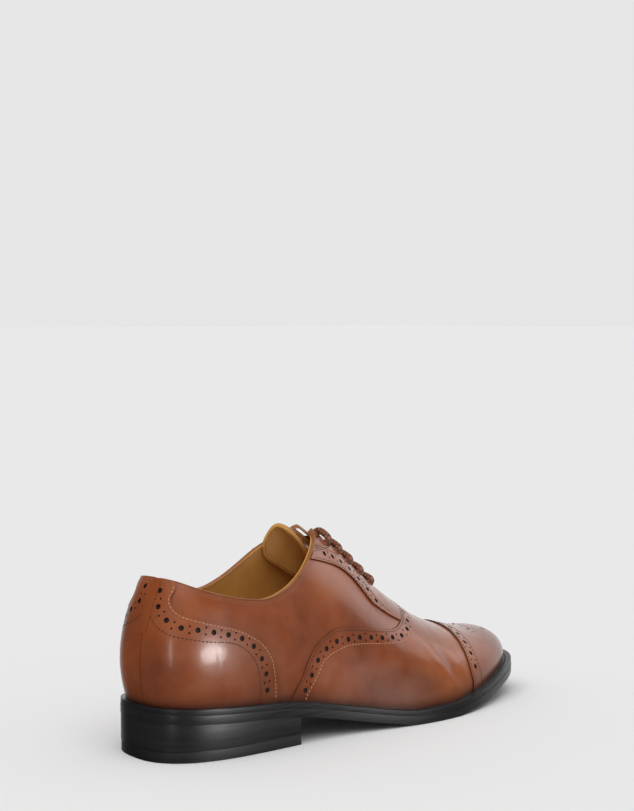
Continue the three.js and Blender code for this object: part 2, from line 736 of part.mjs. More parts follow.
const LOOKS = {
  upper: { color: 0x8c4828, roughness: 0.35, metalness: 0 },
  lining: { color: 0xa4672f, roughness: 0.7, metalness: 0 },
  fibre: { color: 0x9a8468, roughness: 0.9, metalness: 0 },
  cork: { color: 0x8a6a45, roughness: 0.95, metalness: 0 },
  sole: { color: 0x2b2829, roughness: 0.45, metalness: 0 },
  rubber: { color: 0x1d1c1d, roughness: 0.7, metalness: 0 },
  steel: { color: 0x9a9a9c, roughness: 0.4, metalness: 1 },
  brass: { color: 0xa88a4a, roughness: 0.4, metalness: 1 },
  lace: { color: 0x6b3a22, roughness: 0.8, metalness: 0 },
};

const shoe = new THREE.Group();
const upper = new THREE.Group();
const tongueGroup = new THREE.Group();
const lacing = new THREE.Group();
const bottom = new THREE.Group();
shoe.add(upper, tongueGroup, lacing, bottom);

function addPiece(group, name, solid, look) {
  const mesh = new THREE.Mesh(geometryOf(solid), new THREE.MeshStandardMaterial(LOOKS[look]));
  mesh.name = name;
  group.add(mesh);
}

const SIDES = { outer: -1, inner: 1 };
addPiece(upper, 'toe_cap', toeCap(), 'upper');
addPiece(upper, 'vamp', vamp(), 'upper');
for (const [name, side] of Object.entries(SIDES)) {
  addPiece(upper, `facing_${name}`, facing(side), 'upper');
  addPiece(upper, `quarter_${name}`, quarter(side), 'upper');
  addPiece(upper, `heel_foxing_${name}`, heelFoxing(side), 'upper');
  addPiece(upper, `quarter_lining_${name}`, quarterLining(side), 'lining');
}
addPiece(upper, 'backstay', backstay(), 'upper');
addPiece(upper, 'heel_stiffener', heelStiffener(), 'fibre');
addPiece(upper, 'toe_puff', toePuff(), 'fibre');
addPiece(upper, 'vamp_backer', vampBacker(), 'fibre');
addPiece(upper, 'heel_grip', heelGrip(), 'lining');
addPiece(upper, 'vamp_lining', vampLining(), 'lining');

const tongueLiningDepth = TONGUE_DEPTH + LEATHER + 2 * GAP;
addPiece(tongueGroup, 'tongue', tongueSheet(TONGUE_DEPTH, LEATHER, 0), 'upper');
addPiece(tongueGroup, 'tongue_lining', tongueSheet(tongueLiningDepth, LEATHER, 0.5), 'lining');

for (const [name, side] of Object.entries(SIDES)) {
  for (let row = 0; row < LACE_ROWS; row++) {
    addPiece(lacing, `eyelet_${name}_${row + 1}`, eyeletWasher(row, side), 'brass');
  }
  addPiece(lacing, `aglet_${name}`, aglet(TAILS[name]), 'lace');
}
addPiece(lacing, 'lace', lace(), 'lace');

addPiece(bottom, 'welt', welt(), 'sole');
addPiece(bottom, 'outsole', outsole(), 'sole');
addPiece(bottom, 'cork_filler', corkFiller(), 'cork');
addPiece(bottom, 'heel_seat', heelSeat(), 'fibre');
addPiece(bottom, 'shank', shank(), 'steel');
addPiece(bottom, 'insole', insole(), 'fibre');
addPiece(bottom, 'sock', sock(), 'lining');
addPiece(bottom, 'heel_stack', heelStack(), 'sole');
addPiece(bottom, 'top_piece', topPiece(), 'rubber');
NAIL_SPOTS.forEach((spot, i) => addPiece(bottom, `heel_nail_${i + 1}`, nailSolid(spot, 0), 'steel'));

// The origin is on the ground, under the middle of the shoe's box.
const box = new THREE.Box3().setFromObject(shoe);
const middle = box.getCenter(new THREE.Vector3());
shoe.position.set(-middle.x, -middle.y, 0);

export default shoe;
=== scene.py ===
import math

import bpy
import numpy as np
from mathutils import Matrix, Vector


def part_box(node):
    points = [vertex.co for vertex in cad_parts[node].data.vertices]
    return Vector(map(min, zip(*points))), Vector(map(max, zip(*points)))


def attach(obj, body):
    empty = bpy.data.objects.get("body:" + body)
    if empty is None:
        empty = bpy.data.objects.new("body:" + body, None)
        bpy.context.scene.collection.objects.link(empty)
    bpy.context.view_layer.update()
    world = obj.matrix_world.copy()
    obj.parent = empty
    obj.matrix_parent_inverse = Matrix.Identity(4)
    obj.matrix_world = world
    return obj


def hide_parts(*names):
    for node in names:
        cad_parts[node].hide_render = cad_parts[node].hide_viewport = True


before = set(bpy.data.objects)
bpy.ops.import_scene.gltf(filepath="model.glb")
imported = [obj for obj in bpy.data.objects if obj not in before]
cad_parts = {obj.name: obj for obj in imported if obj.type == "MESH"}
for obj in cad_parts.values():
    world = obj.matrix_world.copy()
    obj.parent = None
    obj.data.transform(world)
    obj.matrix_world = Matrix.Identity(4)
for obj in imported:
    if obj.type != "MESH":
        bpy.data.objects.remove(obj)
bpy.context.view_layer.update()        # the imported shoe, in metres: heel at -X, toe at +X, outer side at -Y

bpy.ops.object.select_all(action="DESELECT")
mm = 0.001
print("frame loaded")

# the camera: standing off the heel on the outer side, low down
cameraView = {
    "azimuth": -42.47,
    "elevation": 2.83,
    "distance": 1.1,
    "aim": (-0.0136, 0.0011, 0.19),
    "lens": 81.52,
}


def towards(turn, rise):
    # the direction at an azimuth from straight out of the outer side, and a height, in degrees
    a, e = math.radians(turn), math.radians(rise)
    return Vector((math.sin(a) * math.cos(e), -math.cos(a) * math.cos(e), math.sin(e)))


def addCamera(view):
    back = towards(view["azimuth"], view["elevation"])
    bpy.ops.object.camera_add(location=Vector(view["aim"]) + back * view["distance"])
    camera = bpy.context.object
    camera.rotation_mode = "QUATERNION"
    camera.rotation_quaternion = (-back).to_track_quat("-Z", "Y")
    camera.data.lens = view["lens"]
    camera.data.clip_start = 0.05
    bpy.context.scene.camera = camera


addCamera(cameraView)


def smoothLine(control, perSpan=24, closed=False):
    # a cubic B-spline drawn inside its control polygon
    pts = np.array(control, float)
    if closed:
        poly = np.vstack([pts[-1:], pts, pts[:2]])
    else:
        poly = np.vstack([2 * pts[0] - pts[1], pts, 2 * pts[-1] - pts[-2]])
    f = (np.arange(perSpan) / perSpan)[:, None]
    weights = [(1 - f) ** 3, 3 * f**3 - 6 * f**2 + 4, 3 * (f + f**2 - f**3) + 1, f**3]
    spans = [sum(w * poly[s + k] for k, w in enumerate(weights)) / 6 for s in range(len(poly) - 3)]
    return np.vstack(spans if closed else spans + [pts[-1:]])


def throughPoints(control, perSpan=10):
    # a Catmull-Rom curve through every control point
    pts = np.array(control, float)
    poly = np.vstack([pts[0], pts, pts[-1]])
    f = (np.arange(perSpan) / perSpan)[:, None]
    spans = []
    for a, b, c, d in zip(poly, poly[1:], poly[2:], poly[3:]):
        spans.append(0.5 * (2 * b + (c - a) * f + (2 * a - 5 * b + 4 * c - d) * f**2
                            + (3 * b - a - 3 * c + d) * f**3))
    return np.vstack(spans + [pts[-1:]])


def alongShoe(control):
    line = smoothLine(control)
    return lambda x: np.interp(x, line[:, 0], line[:, 1])


def unit(v):
    return v / np.maximum(np.linalg.norm(v, axis=-1, keepdims=True), 1e-12)


# the last, in millimetres from the heel

soleOutline = smoothLine([
    (2, 0), (1, -18), (12.5, -33.5), (35.5, -41), (66, -42.5), (100, -41), (131.5, -43.5), (164, -50),
    (196, -54), (225.5, -50.5), (254, -41.5), (280, -30), (300, -17), (310, 2), (303.5, 19.5), (288, 31),
    (266, 42), (240, 49.5), (212, 51.5), (184, 46.5), (156, 36), (126, 29.5), (96, 30.5), (66, 34.5),
    (38, 35.5), (15, 29), (5, 15)], 60, True)

thick = {"outsole": 4.9, "welt": 3.0, "leather": 1.0, "topPiece": 6.0, "insole": 2.2, "gap": 0.3}
ridge = {"heel": 44.0, "heelTurn": 18, "toe": 264.0, "toeTurn": 10}      # where the ridge starts and ends
breast = 91.0

soleMargin = alongShoe([(0, 2.5), (20, 2.6), (80, 3), (110, 3), (160, 4), (220, 5), (300, 6), (310, 6)])
soleBottom = alongShoe([(0, 22), (40, 19.5), (84, 17.5), (112, 12), (150, 4), (180, -1), (205, -1),
                        (235, 2.6), (268, 8), (309, 15)])
ridgeHeight = alongShoe([(40, 102.7), (80, 108), (104, 112.3), (120, 111), (145, 99), (170, 82.4),
                         (195, 63), (220, 46.3), (245, 34), (268, 25.5), (290, 20)])
roundness = alongShoe([(0, 2.22), (80, 2.22), (120, 2.2), (170, 2.3), (220, 2.6), (260, 2.66), (303, 2.66)])
hollow = alongShoe([(0, 0.24), (60, 0.24), (100, 0.22), (140, 0.36), (180, 0.4), (215, 0.22), (250, 0.06),
                    (303, 0.03)])
bulge = alongShoe([(0, 0.19), (50, 0.15), (110, 0.05), (160, 0.06), (210, 0.03), (303, 0.02)])
centreLine = alongShoe([(0, 0), (60, 0), (120, 2), (180, 4), (240, 4), (301, 2)])


def bottomAt(x):
    return np.maximum(0, soleBottom(x))


def weltAt(x):
    return bottomAt(x) + thick["outsole"] + thick["gap"]


def featherAt(x):
    return weltAt(x) + thick["welt"] + thick["gap"]


class Edges:
    # the sole's outline moved inwards, read by an angle from 0 at the heel to pi at the toe
    def __init__(self, inset):
        along = unit(np.roll(soleOutline, -1, 0) - np.roll(soleOutline, 1, 0))
        inwards = np.stack([-along[:, 1], along[:, 0]], 1)
        moved = soleOutline + inwards * inset(soleOutline[:, 0])[:, None]
        heel, toe = moved[:, 0].argmin(), moved[:, 0].argmax()
        self.start, self.length = moved[heel, 0], moved[toe, 0] - moved[heel, 0]
        self.angles = np.linspace(0, math.pi, 201)
        self.outerY = self.walk(moved, heel, toe, 1)
        self.innerY = self.walk(moved, heel, toe, -1)

    def walk(self, moved, heel, toe, step):
        count = len(moved)
        places = (heel + step * np.arange((toe - heel) * step % count + 1)) % count
        edge = moved[places]
        edge = edge[np.argsort(edge[:, 0], kind="stable")]
        return np.interp(self.station(self.angles), edge[:, 0], edge[:, 1])

    def station(self, angle):
        return self.start + self.length * (1 - np.cos(angle)) / 2

    def angleOf(self, x):
        return np.arccos(np.clip(1 - 2 * (np.asarray(x, float) - self.start) / self.length, -1, 1))

    def outer(self, angle):
        return np.interp(angle, self.angles, self.outerY)

    def inner(self, angle):
        return np.interp(angle, self.angles, self.innerY)


feather = Edges(soleMargin)
rim = Edges(lambda x: 0 * x)

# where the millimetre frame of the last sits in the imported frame
cadEnd = 0.07
cadSpots = np.linspace(cadEnd, math.pi - cadEnd, 41)
shift = np.array([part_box("outsole")[0].x / mm - rim.station(cadEnd),
                  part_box("outsole")[0].y / mm - rim.outer(cadSpots).min(), 0])


def inRow(points):
    return (np.asarray(points, float) + shift) * mm


def ridgeStation(x):
    behind = (x + ridge["heel"] + np.hypot(x - ridge["heel"], ridge["heelTurn"])) / 2
    return (behind + ridge["toe"] - np.hypot(behind - ridge["toe"], ridge["toeTurn"])) / 2


def lastPoint(angle, girth):
    # girth runs from 0 at the outer feather line over the ridge at 1 to the inner one at 2
    angle, girth = np.broadcast_arrays(np.asarray(angle, float), np.asarray(girth, float))
    x = feather.station(angle)
    y = np.where(girth <= 1, feather.outer(angle), feather.inner(angle))
    theta = np.clip(np.where(girth <= 1, girth, 2 - girth), 0, 1) * math.pi / 2
    ridgeX = ridgeStation(x)
    rise = np.sin(theta) ** (2 / roundness(x))
    swell = 1 + 4 * bulge(x) * rise * (1 - rise)
    reach = np.cos(theta) * (1 - hollow(x) * rise**1.5) * swell
    foot = featherAt(x)
    top = featherAt(ridgeX) + ridgeHeight(ridgeX)
    ridgeY = centreLine(ridgeX)
    return np.stack([ridgeX + (x - ridgeX) * reach, ridgeY + (y - ridgeY) * reach,
                     foot + (top - foot) * rise], -1)


def halfNormal(angle, girth):
    step = 0.03
    a = np.clip(angle, 2 * step, math.pi - 2 * step)
    g = np.clip(girth, step, 2 - step)
    lengthwise = lastPoint(a + step, girth) - lastPoint(a - step, girth)
    around = lastPoint(angle, g + step) - lastPoint(angle, g - step)
    return unit(np.cross(lengthwise, around))


def lastNormal(angle, girth):
    angle, girth = np.broadcast_arrays(np.asarray(angle, float), np.asarray(girth, float))
    normal = halfNormal(angle, girth)
    seamWidth = 1e-6
    seam = (angle < seamWidth) | (angle > math.pi - seamWidth)
    both = unit(normal + halfNormal(angle, 2 - girth))
    return np.where(seam[..., None], both, normal)


def halve(low, high, rounds, holds):
    # closes in on the place where a test stops holding
    for _ in range(rounds):
        middle = (low + high) / 2
        held = holds(middle)
        low, high = np.where(held, middle, low), np.where(held, high, middle)
    return low, high


def spotsOver(x, off, side):
    # angle and girth on the bare last at distances off its centre line
    angle = feather.angleOf(x)
    low, _ = halve(np.zeros_like(x), np.ones_like(x), 28,
                   lambda share: np.abs(lastPoint(angle, 1 + side * share)[:, 1] - centreLine(x)) < off)
    return angle, 1 + side * low


def runAlong(points):
    steps = np.linalg.norm(np.diff(points, axis=0), axis=1)
    return np.concatenate([[0], np.cumsum(steps)])


def readAt(points, run, places):
    return np.stack([np.interp(places, run, points[:, k]) for k in range(3)], 1)


def paced(line, pitch, start, ahead=0.5):
    # evenly spaced spots on a line of points, and its direction there
    run = runAlong(line)
    places = np.arange(start, run[-1] - 1, pitch)
    at = readAt(line, run, places)
    return at, unit(readAt(line, run, places + ahead) - at)


# soft folds where the forepart bends, and the slack of the leather over the sides
folds = [
    {"x": 204, "h": 23, "lean": 0.6, "wide": 4.5, "tall": 12, "deep": 0.45},
    {"x": 212, "h": 22, "lean": 0.6, "wide": 4.5, "tall": 12, "deep": -0.5},
    {"x": 221, "h": 21, "lean": 0.6, "wide": 4.5, "tall": 11, "deep": 0.35},
    {"x": 168, "h": 13, "lean": 0.0, "wide": 26.0, "tall": 9, "deep": -0.6},
    {"x": 33, "h": 27, "lean": 0.1, "wide": 1.0, "tall": 5, "deep": -0.11},
]
slack = {"deep": 0.22, "long": 17, "lean": 23, "tall": 19, "start": 0.6, "foot": 12}


def foldHeight(point):
    x = point[..., 0]
    h = point[..., 2] - featherAt(x)
    waves = np.sin(x / slack["long"] + h / slack["lean"]) * np.sin(h / slack["tall"] + slack["start"])
    total = slack["deep"] * waves * np.clip(h / slack["foot"], 0, 1)
    for f in folds:
        across = (x - f["x"]) + f["lean"] * (h - f["h"])
        total = total + f["deep"] * np.exp(-((across / f["wide"]) ** 2) - ((h - f["h"]) / f["tall"]) ** 2)
    return total


def skin(angle, girth, offset, folded=True):
    point = lastPoint(angle, girth)
    lift = offset + (foldHeight(point) if folded else 0)
    return point + lastNormal(angle, girth) * np.asarray(lift)[..., None]


def locate(first, second, view, side, offset=0.0):
    # angle and girth of spots given from the side (x, height) or from above (x, off centre)
    first, second = np.asarray(first, float), np.asarray(second, float)
    axis = 2 if view == "side" else 1
    goal = featherAt(first) + second if view == "side" else centreLine(first) + second

    def spot(angle, share):
        return skin(angle, share if side < 0 else 2 - share, offset)

    angle = np.clip(feather.angleOf(first), 0.01, math.pi - 0.01)
    rising = 1 if view == "side" else -side
    low, high = halve(np.zeros_like(angle), np.ones_like(angle), 18,
                      lambda share: (spot(angle, share)[..., axis] - goal) * rising < 0)
    share = (low + high) / 2
    step, flat, edge = 1e-3, 1e-6, 0.001
    for _ in range(14):
        here = spot(angle, share)
        miss = np.stack([first - here[..., 0], goal - here[..., axis]], -1)
        byAngle = (spot(angle + step, share) - here)[..., [0, axis]] / step
        byShare = (spot(angle, np.clip(share + step, 0, 1)) - spot(angle, np.clip(share - step, 0, 1)))
        byShare = byShare[..., [0, axis]] / (2 * step)
        det = byAngle[..., 0] * byShare[..., 1] - byAngle[..., 1] * byShare[..., 0]
        det = np.where(np.abs(det) < flat, flat, det)
        moveA = (miss[..., 0] * byShare[..., 1] - miss[..., 1] * byShare[..., 0]) / det
        moveS = (byAngle[..., 0] * miss[..., 1] - byAngle[..., 1] * miss[..., 0]) / det
        angle = np.clip(angle + np.clip(moveA, -0.1, 0.1), 2 * edge, math.pi - 2 * edge)
        share = np.clip(share + np.clip(moveS, -0.08, 0.08), edge, 1 - edge)
    return angle, (share if side < 0 else 2 - share)


# pattern lines: station and height over the feather line, seen from the side

capLine = [(234, -30), (234, 2), (232, 12), (233.5, 23), (237, 31), (240, 37), (240, 60)]
wingLine = [(82, -30), (87, 0), (94, 13), (99, 23), (106, 32), (115, 39), (124, 43.5), (138, 45.5),
            (154, 46), (172, 46.5), (185, 50), (193, 55), (197, 62), (197, 130)]
foxingLine = [(75, -30), (75, 2), (74, 14), (71.5, 25), (65, 34), (55, 40), (44, 44), (29, 47.5), (17, 51),
              (13.5, 55), (14, 60), (18, 68), (19, 90)]
outerTopline = [(-30, 69), (2, 69.5), (12, 70), (19, 68.5), (28, 65), (45, 60.5), (63, 58), (76, 58.5),
                (91, 64), (104, 72.5), (115, 82), (125, 91), (133, 99.5), (142, 120)]
innerTopline = [(-30, 69), (2, 69.5), (12, 70), (19, 68.5), (28, 65), (42, 60.5), (56, 57.5), (70, 58),
                (82, 64), (93, 73), (102, 81.5), (112, 89.5), (126, 99), (142, 120)]
facingLine = [(180, 20), (176, 40), (169, 53), (160, 66), (153, 75), (142, 80.5), (125, 82.5), (100, 83)]
liningSeam = [(146, -30), (146, 16), (156, 36), (176, 46), (190, 53), (195, 62), (195, 130)]
gripLine = [(40, -30), (40, 20), (36, 50), (34, 110)]
toplines = {-1: outerTopline, 1: innerTopline}
sideNames = {"outer": -1, "inner": 1}
facingGap = 3.0
slotStart, slotEnd = 60, 191.0

# how far each layer's outer face stands off the last
layers = {"cap": 0.55, "overlay": -0.45, "quarter": -1.5, "lining": -3.45, "grip": -4.3}


def setPoints(obj, points):
    obj.data.vertices.foreach_set("co", np.asarray(points, np.float32).ravel())
    obj.data.update()


def getPoints(obj):
    co = np.empty(len(obj.data.vertices) * 3, np.float32)
    obj.data.vertices.foreach_get("co", co)
    return co.reshape(-1, 3).astype(float)


def only(obj):
    bpy.ops.object.select_all(action="DESELECT")
    obj.select_set(True)
    bpy.context.view_layer.objects.active = obj


def applied(obj, kind, **settings):
    only(obj)
    modifier = obj.modifiers.new(kind.title(), kind)
    for key, value in settings.items():
        setattr(modifier, key, value)
    bpy.ops.object.modifier_apply(modifier=modifier.name)


def editAll(obj, *operators):
    only(obj)
    bpy.ops.object.mode_set(mode="EDIT")
    bpy.ops.mesh.select_all(action="SELECT")
    for run in operators:
        run()
    bpy.ops.object.mode_set(mode="OBJECT")


def gridSheet(name, place, countA, countB):
    # a flat grid laid over a form: place takes a and b from 0 to 1 and gives millimetre points
    bpy.ops.mesh.primitive_grid_add(x_subdivisions=countA, y_subdivisions=countB, size=1)
    sheet = bpy.context.object
    sheet.name = sheet.data.name = name
    flat = getPoints(sheet) + 0.5
    setPoints(sheet, inRow(place(np.clip(flat[:, 0], 0, 1), np.clip(flat[:, 1], 0, 1))))
    return sheet


def lastSheet(name, offset, girths=(0, 2), angles=(0, math.pi), countA=200, countB=130, foot=0.3,
              thickness=thick["leather"], crowd=1.25):
    # leather pulled over the last, its lower edge let down onto the welt
    atEdge, seamMerge = 1e-4, 1.5e-7

    def place(a, b):
        angle = angles[0] + (angles[1] - angles[0]) * a
        girth = girths[0] + (girths[1] - girths[0]) * b
        off = girth - 1
        girth = 1 + np.sign(off) * np.abs(off) ** crowd
        point = skin(angle, girth, offset, offset > layers["lining"])
        point[:, 2] -= foot * ((girth < atEdge) | (girth > 2 - atEdge))
        return point

    sheet = gridSheet(name, place, countA, countB)
    editAll(sheet, lambda: bpy.ops.mesh.remove_doubles(threshold=seamMerge))
    probe = (sum(angles) / 2, girths[0] + min(1, girths[1] - girths[0]) / 2)
    nearest = np.linalg.norm(getPoints(sheet) - inRow(lastPoint(*probe)), axis=1).argmin()
    if np.dot(sheet.data.vertices[int(nearest)].normal, lastNormal(*probe)) < 0:
        editAll(sheet, bpy.ops.mesh.flip_normals)
    thicken(sheet, thickness)
    return sheet


def addSlots(obj):
    for _ in range(3):
        obj.data.materials.append(None)      # leather, its cut edge, the inside of a punched hole painted near-black as shade


def giveSlots(cutter, slot):
    addSlots(cutter)
    cutter.data.polygons.foreach_set("material_index", [slot] * len(cutter.data.polygons))


def thicken(sheet, thickness):
    applied(sheet, "SOLIDIFY", thickness=thickness * mm, offset=-1, use_quality_normals=True)
    addSlots(sheet)


def flatCutter(points, seen, low, high):
    # an outline drawn from behind, from the side or from above, and drawn out along that view
    bpy.ops.mesh.primitive_circle_add(vertices=len(points), radius=1, fill_type="NGON")
    cutter = bpy.context.object
    axis = ("behind", "side", "above").index(seen)
    setPoints(cutter, inRow(np.insert(np.asarray(points, float), axis, float(low), axis=1)))
    move = [0, 0, 0]
    move[axis] = (high - low) * mm
    editAll(cutter,
            lambda: bpy.ops.mesh.extrude_region_move(TRANSFORM_OT_translate={"value": move}),
            lambda: bpy.ops.mesh.select_all(action="SELECT"),
            lambda: bpy.ops.mesh.normals_make_consistent(inside=False))
    giveSlots(cutter, 1)
    return cutter


def cut(piece, cutter, keepInside=True):
    mode = "INTERSECT" if keepInside else "DIFFERENCE"
    applied(piece, "BOOLEAN", operation=mode, solver="MANIFOLD", object=cutter)
    bpy.data.objects.remove(cutter)


far = 400.0      # beyond the shoe on every side


def patternOutline(line, ahead, shiftX=0, shiftUp=0):
    curve = throughPoints(line)
    drawn = np.stack([curve[:, 0] + shiftX, featherAt(curve[:, 0]) + curve[:, 1] + shiftUp], 1)
    end = far if ahead else -far
    return np.vstack([drawn, [(end, drawn[-1, 1]), (end, drawn[0, 1])]])


def keepAhead(piece, line, **shifts):
    cut(piece, flatCutter(patternOutline(line, True, **shifts), "side", -far, far))


def keepBehind(piece, line, **shifts):
    cut(piece, flatCutter(patternOutline(line, False, **shifts), "side", -far, far))


def keepUnder(piece, topline, drop=0.0):
    curve = throughPoints(topline)
    drawn = np.stack([curve[:, 0], featherAt(curve[:, 0]) + curve[:, 1] - drop], 1)
    around = [(drawn[-1, 0], far), (far, far), (far, -far), (-far, -far), (-far, drawn[0, 1])]
    cut(piece, flatCutter(np.vstack([drawn, around]), "side", -far, far))


def openSlot(piece, half=facingGap, end=slotEnd):
    stations = np.linspace(slotStart, end - half - 2, 16)
    turn = np.linspace(-math.pi / 2, math.pi / 2, 13)
    outer = np.stack([stations, centreLine(stations) - half], 1)
    inner = np.stack([stations, centreLine(stations) + half], 1)[::-1]
    tip = np.stack([end - half + half * np.cos(turn), centreLine(end) + half * np.sin(turn)], 1)
    cut(piece, flatCutter(np.vstack([outer, tip, inner]), "above", 0, far), keepInside=False)


# rows along the leather: stitches, punched holes

class Row:
    # a line on the upper, as angles and girths, and the off-last height it lies at
    def __init__(self, angle, girth, offset):
        self.angle, self.girth, self.offset = angle, girth, offset
        self.points = skin(angle, girth, offset)
        self.along = runAlong(self.points)
        self.length = self.along[-1]

    def read(self, places):
        return np.interp(places, self.along, self.angle), np.interp(places, self.along, self.girth)

    def at(self, places, reach=0.4):
        angle, girth = self.read(places)
        ahead, behind = (skin(*self.read(places + step), self.offset) for step in (reach, -reach))
        return skin(angle, girth, self.offset), unit(ahead - behind), lastNormal(angle, girth)

    def every(self, pitch, start=0.0, end=0.0):
        room = self.length - start - end
        count = max(1, int(round(room / pitch)))
        return start + room / count * (np.arange(count) + 0.5)


def sideRow(line, side, offset, lowest=0.5, highest=200.0, behind=-50.0, ahead=400.0):
    curve = throughPoints(line, 14)
    curve = curve[(curve[:, 1] >= lowest) & (curve[:, 1] <= highest)]
    curve = curve[(curve[:, 0] >= behind) & (curve[:, 0] <= ahead)]
    angle, girth = locate(curve[:, 0], curve[:, 1], "side", side, offset)
    return Row(angle, girth, offset)


def beside(row, side, distance, pitch=1.2, slip=1.5):
    # the same row moved across the leather, found again on the last
    points, tangent, normal = row.at(row.every(pitch))
    moved = points + np.cross(normal, tangent) * distance
    angle, girth = locate(moved[:, 0], moved[:, 2] - featherAt(moved[:, 0]), "side", side, row.offset)
    keep = np.abs(skin(angle, girth, row.offset)[:, 0] - moved[:, 0]) < slip
    return Row(angle[keep], girth[keep], row.offset)


def joined(outer, inner, ahead, closest=0.15):
    # two side rows carried on over the instep until they meet, bowed towards the toe
    first, last = outer.points[-1], inner.points[-1]
    t = np.linspace(0, 1, 42)[1:-1]
    x = first[0] + (last[0] - first[0]) * t + ahead * np.sin(math.pi * t)
    off = first[1] + (last[1] - first[1]) * t - centreLine(x)
    angle, girth = np.empty_like(x), np.empty_like(x)
    for side in (-1, 1):
        mine = (off < 0) == (side < 0)
        reach = np.where(np.abs(off[mine]) < closest, closest * side, off[mine])
        angle[mine], girth[mine] = locate(x[mine], reach, "above", side, outer.offset)
    return Row(np.concatenate([outer.angle, angle, inner.angle[::-1]]),
               np.concatenate([outer.girth, girth, inner.girth[::-1]]), outer.offset)


def overRow(edge, ahead, offset, girths=(0.01, 1.99), count=240):
    # a row right over the forepart, a distance ahead of the cap's edge
    curve = throughPoints(edge)
    girth = np.linspace(girths[0], girths[1], count)

    def isBehind(angle):
        here = skin(angle, girth, offset)
        return here[:, 0] < np.interp(here[:, 2] - featherAt(here[:, 0]), curve[:, 1], curve[:, 0]) + ahead

    low, high = halve(np.full(count, 1.2), np.full(count, math.pi - 0.02), 34, isBehind)
    return Row((low + high) / 2, girth, offset)


def newObject(name, points, faces):
    mesh = bpy.data.meshes.new(name)
    mesh.from_pydata(inRow(points.reshape(-1, 3)).tolist(), [], faces)
    obj = bpy.data.objects.new(name, mesh)
    bpy.context.scene.collection.objects.link(obj)
    return obj


def copiesOf(source, name, places, tangents, normals, sizes):
    # one mesh holding a copy of a small shape at each place, lying along the tangent
    base = getPoints(source)
    faces = [list(p.vertices) for p in source.data.polygons]
    side = unit(np.cross(normals, tangents))
    sizes = np.broadcast_to(np.asarray(sizes, float), (len(places), 3))
    local = base[None, :, :] * sizes[:, None, :]
    points = (places[:, None, :] + local[..., :1] * tangents[:, None, :]
              + local[..., 1:2] * side[:, None, :] + local[..., 2:] * normals[:, None, :])
    count = len(base)
    return newObject(name, points, [[v + i * count for v in f] for i in range(len(places)) for f in faces])


def modelStitch():
    bpy.ops.mesh.primitive_uv_sphere_add(segments=6, ring_count=5, radius=0.5)
    stitch = bpy.context.object
    stitch.rotation_euler = (0, math.pi / 2, 0)
    bpy.ops.object.transform_apply(rotation=True)
    return stitch


def modelPunch():
    bpy.ops.mesh.primitive_cylinder_add(vertices=14, radius=0.5, depth=1)
    return bpy.context.object


stitchShape, punchShape = modelStitch(), modelPunch()
stitchSize = {"size": (1.75, 0.62, 0.5), "pitch": 2.35}
brogue = {"big": 3.1, "small": 1.15, "pitch": 9.3, "pair": 1.9, "deep": 0.85, "tall": 3.0}


def stitches(name, rows, thread, pitch=stitchSize["pitch"], size=stitchSize["size"]):
    places, tangents, normals = stacked([row.at(row.every(pitch)) for row in rows])
    sewn = copiesOf(stitchShape, name, places, tangents, normals, size)
    finishPiece(sewn, [thread], smooth=180)
    settle(sewn)


def stacked(sets):
    return tuple(np.concatenate(parts) for parts in zip(*sets))


def broguing(row, start=1, end=1):
    # big holes along a row with a pair of small ones between each two
    spots = row.every(brogue["pitch"], start, end)
    big = row.at(spots)
    at, along, up = row.at((spots[1:] + spots[:-1]) / 2)
    across = unit(np.cross(up, along)) * brogue["pair"]
    holes = stacked([big, (at + across, along, up), (at - across, along, up)])
    return (*holes, np.array([brogue["big"]] * len(spots) + [brogue["small"]] * 2 * len(at)))


def punch(piece, sets, deep=brogue["deep"], tall=brogue["tall"]):
    # punched holes: short cylinders taken out of the leather, their inside painted near-black as shade
    places, tangents, normals, widths = stacked(sets)
    sizes = np.stack([widths, widths, np.full(len(widths), tall)], 1)
    cutter = copiesOf(punchShape, "punch", places + normals * (tall / 2 - deep), tangents, normals, sizes)
    giveSlots(cutter, 2)
    cut(piece, cutter, keepInside=False)


def sweep(name, points, sideways, upwards, halfWide, above, below, sides=14, closed=False):
    # an oval bead along a line, with its own UV map: u along it in metres, v round it
    count = len(points)
    turn = np.arange(sides) / sides * 2 * math.pi
    ring = (points[:, None, :]
            + (np.cos(turn) * halfWide)[None, :, None] * sideways[:, None, :]
            + (np.where(np.sin(turn) > 0, above, below) * np.sin(turn))[None, :, None] * upwards[:, None, :])
    faces, uvs = [], []
    run = runAlong(np.vstack([points, points[:1]])) * mm
    for i in range(count if closed else count - 1):
        j = (i + 1) % count
        for k in range(sides):
            m = (k + 1) % sides
            faces.append([i * sides + k, i * sides + m, j * sides + m, j * sides + k])
            v0, v1 = k / sides, (k + 1) / sides
            uvs += [(run[i], v0), (run[i], v1), (run[i + 1], v1), (run[i + 1], v0)]
    if not closed:
        faces += [list(range(sides))[::-1], [(count - 1) * sides + k for k in range(sides)]]
        uvs += [(0, 0)] * (2 * sides)
    bead = newObject(name, ring, faces)
    layer = bead.data.uv_layers.new(name="beadMap")
    layer.data.foreach_set("uv", np.array(uvs, np.float32).ravel())
    editAll(bead, lambda: bpy.ops.mesh.normals_make_consistent(inside=False))
    return bead


def finishPiece(obj, materials, smooth=38):
    while len(obj.data.materials) < len(materials):
        obj.data.materials.append(None)
    for place, material in enumerate(materials):
        obj.data.materials[place] = material
    only(obj)
    bpy.ops.object.shade_smooth_by_angle(angle=math.radians(smooth))


# darkening amounts: the toe and heel are burnished; the band along the feather line and the fold hollows are
# painted shade
burnishAndShadeAmounts = {
    # painted shade fading up from the feather line
    "edge": {"fade": 4.0, "most": 0.85},
    "toe": {"from": 236, "over": 60, "most": 0.35},
    "heel": {"from": 26, "over": 30, "most": 0.22},
    "foldShade": {"share": 0.9, "most": 0.4},
}


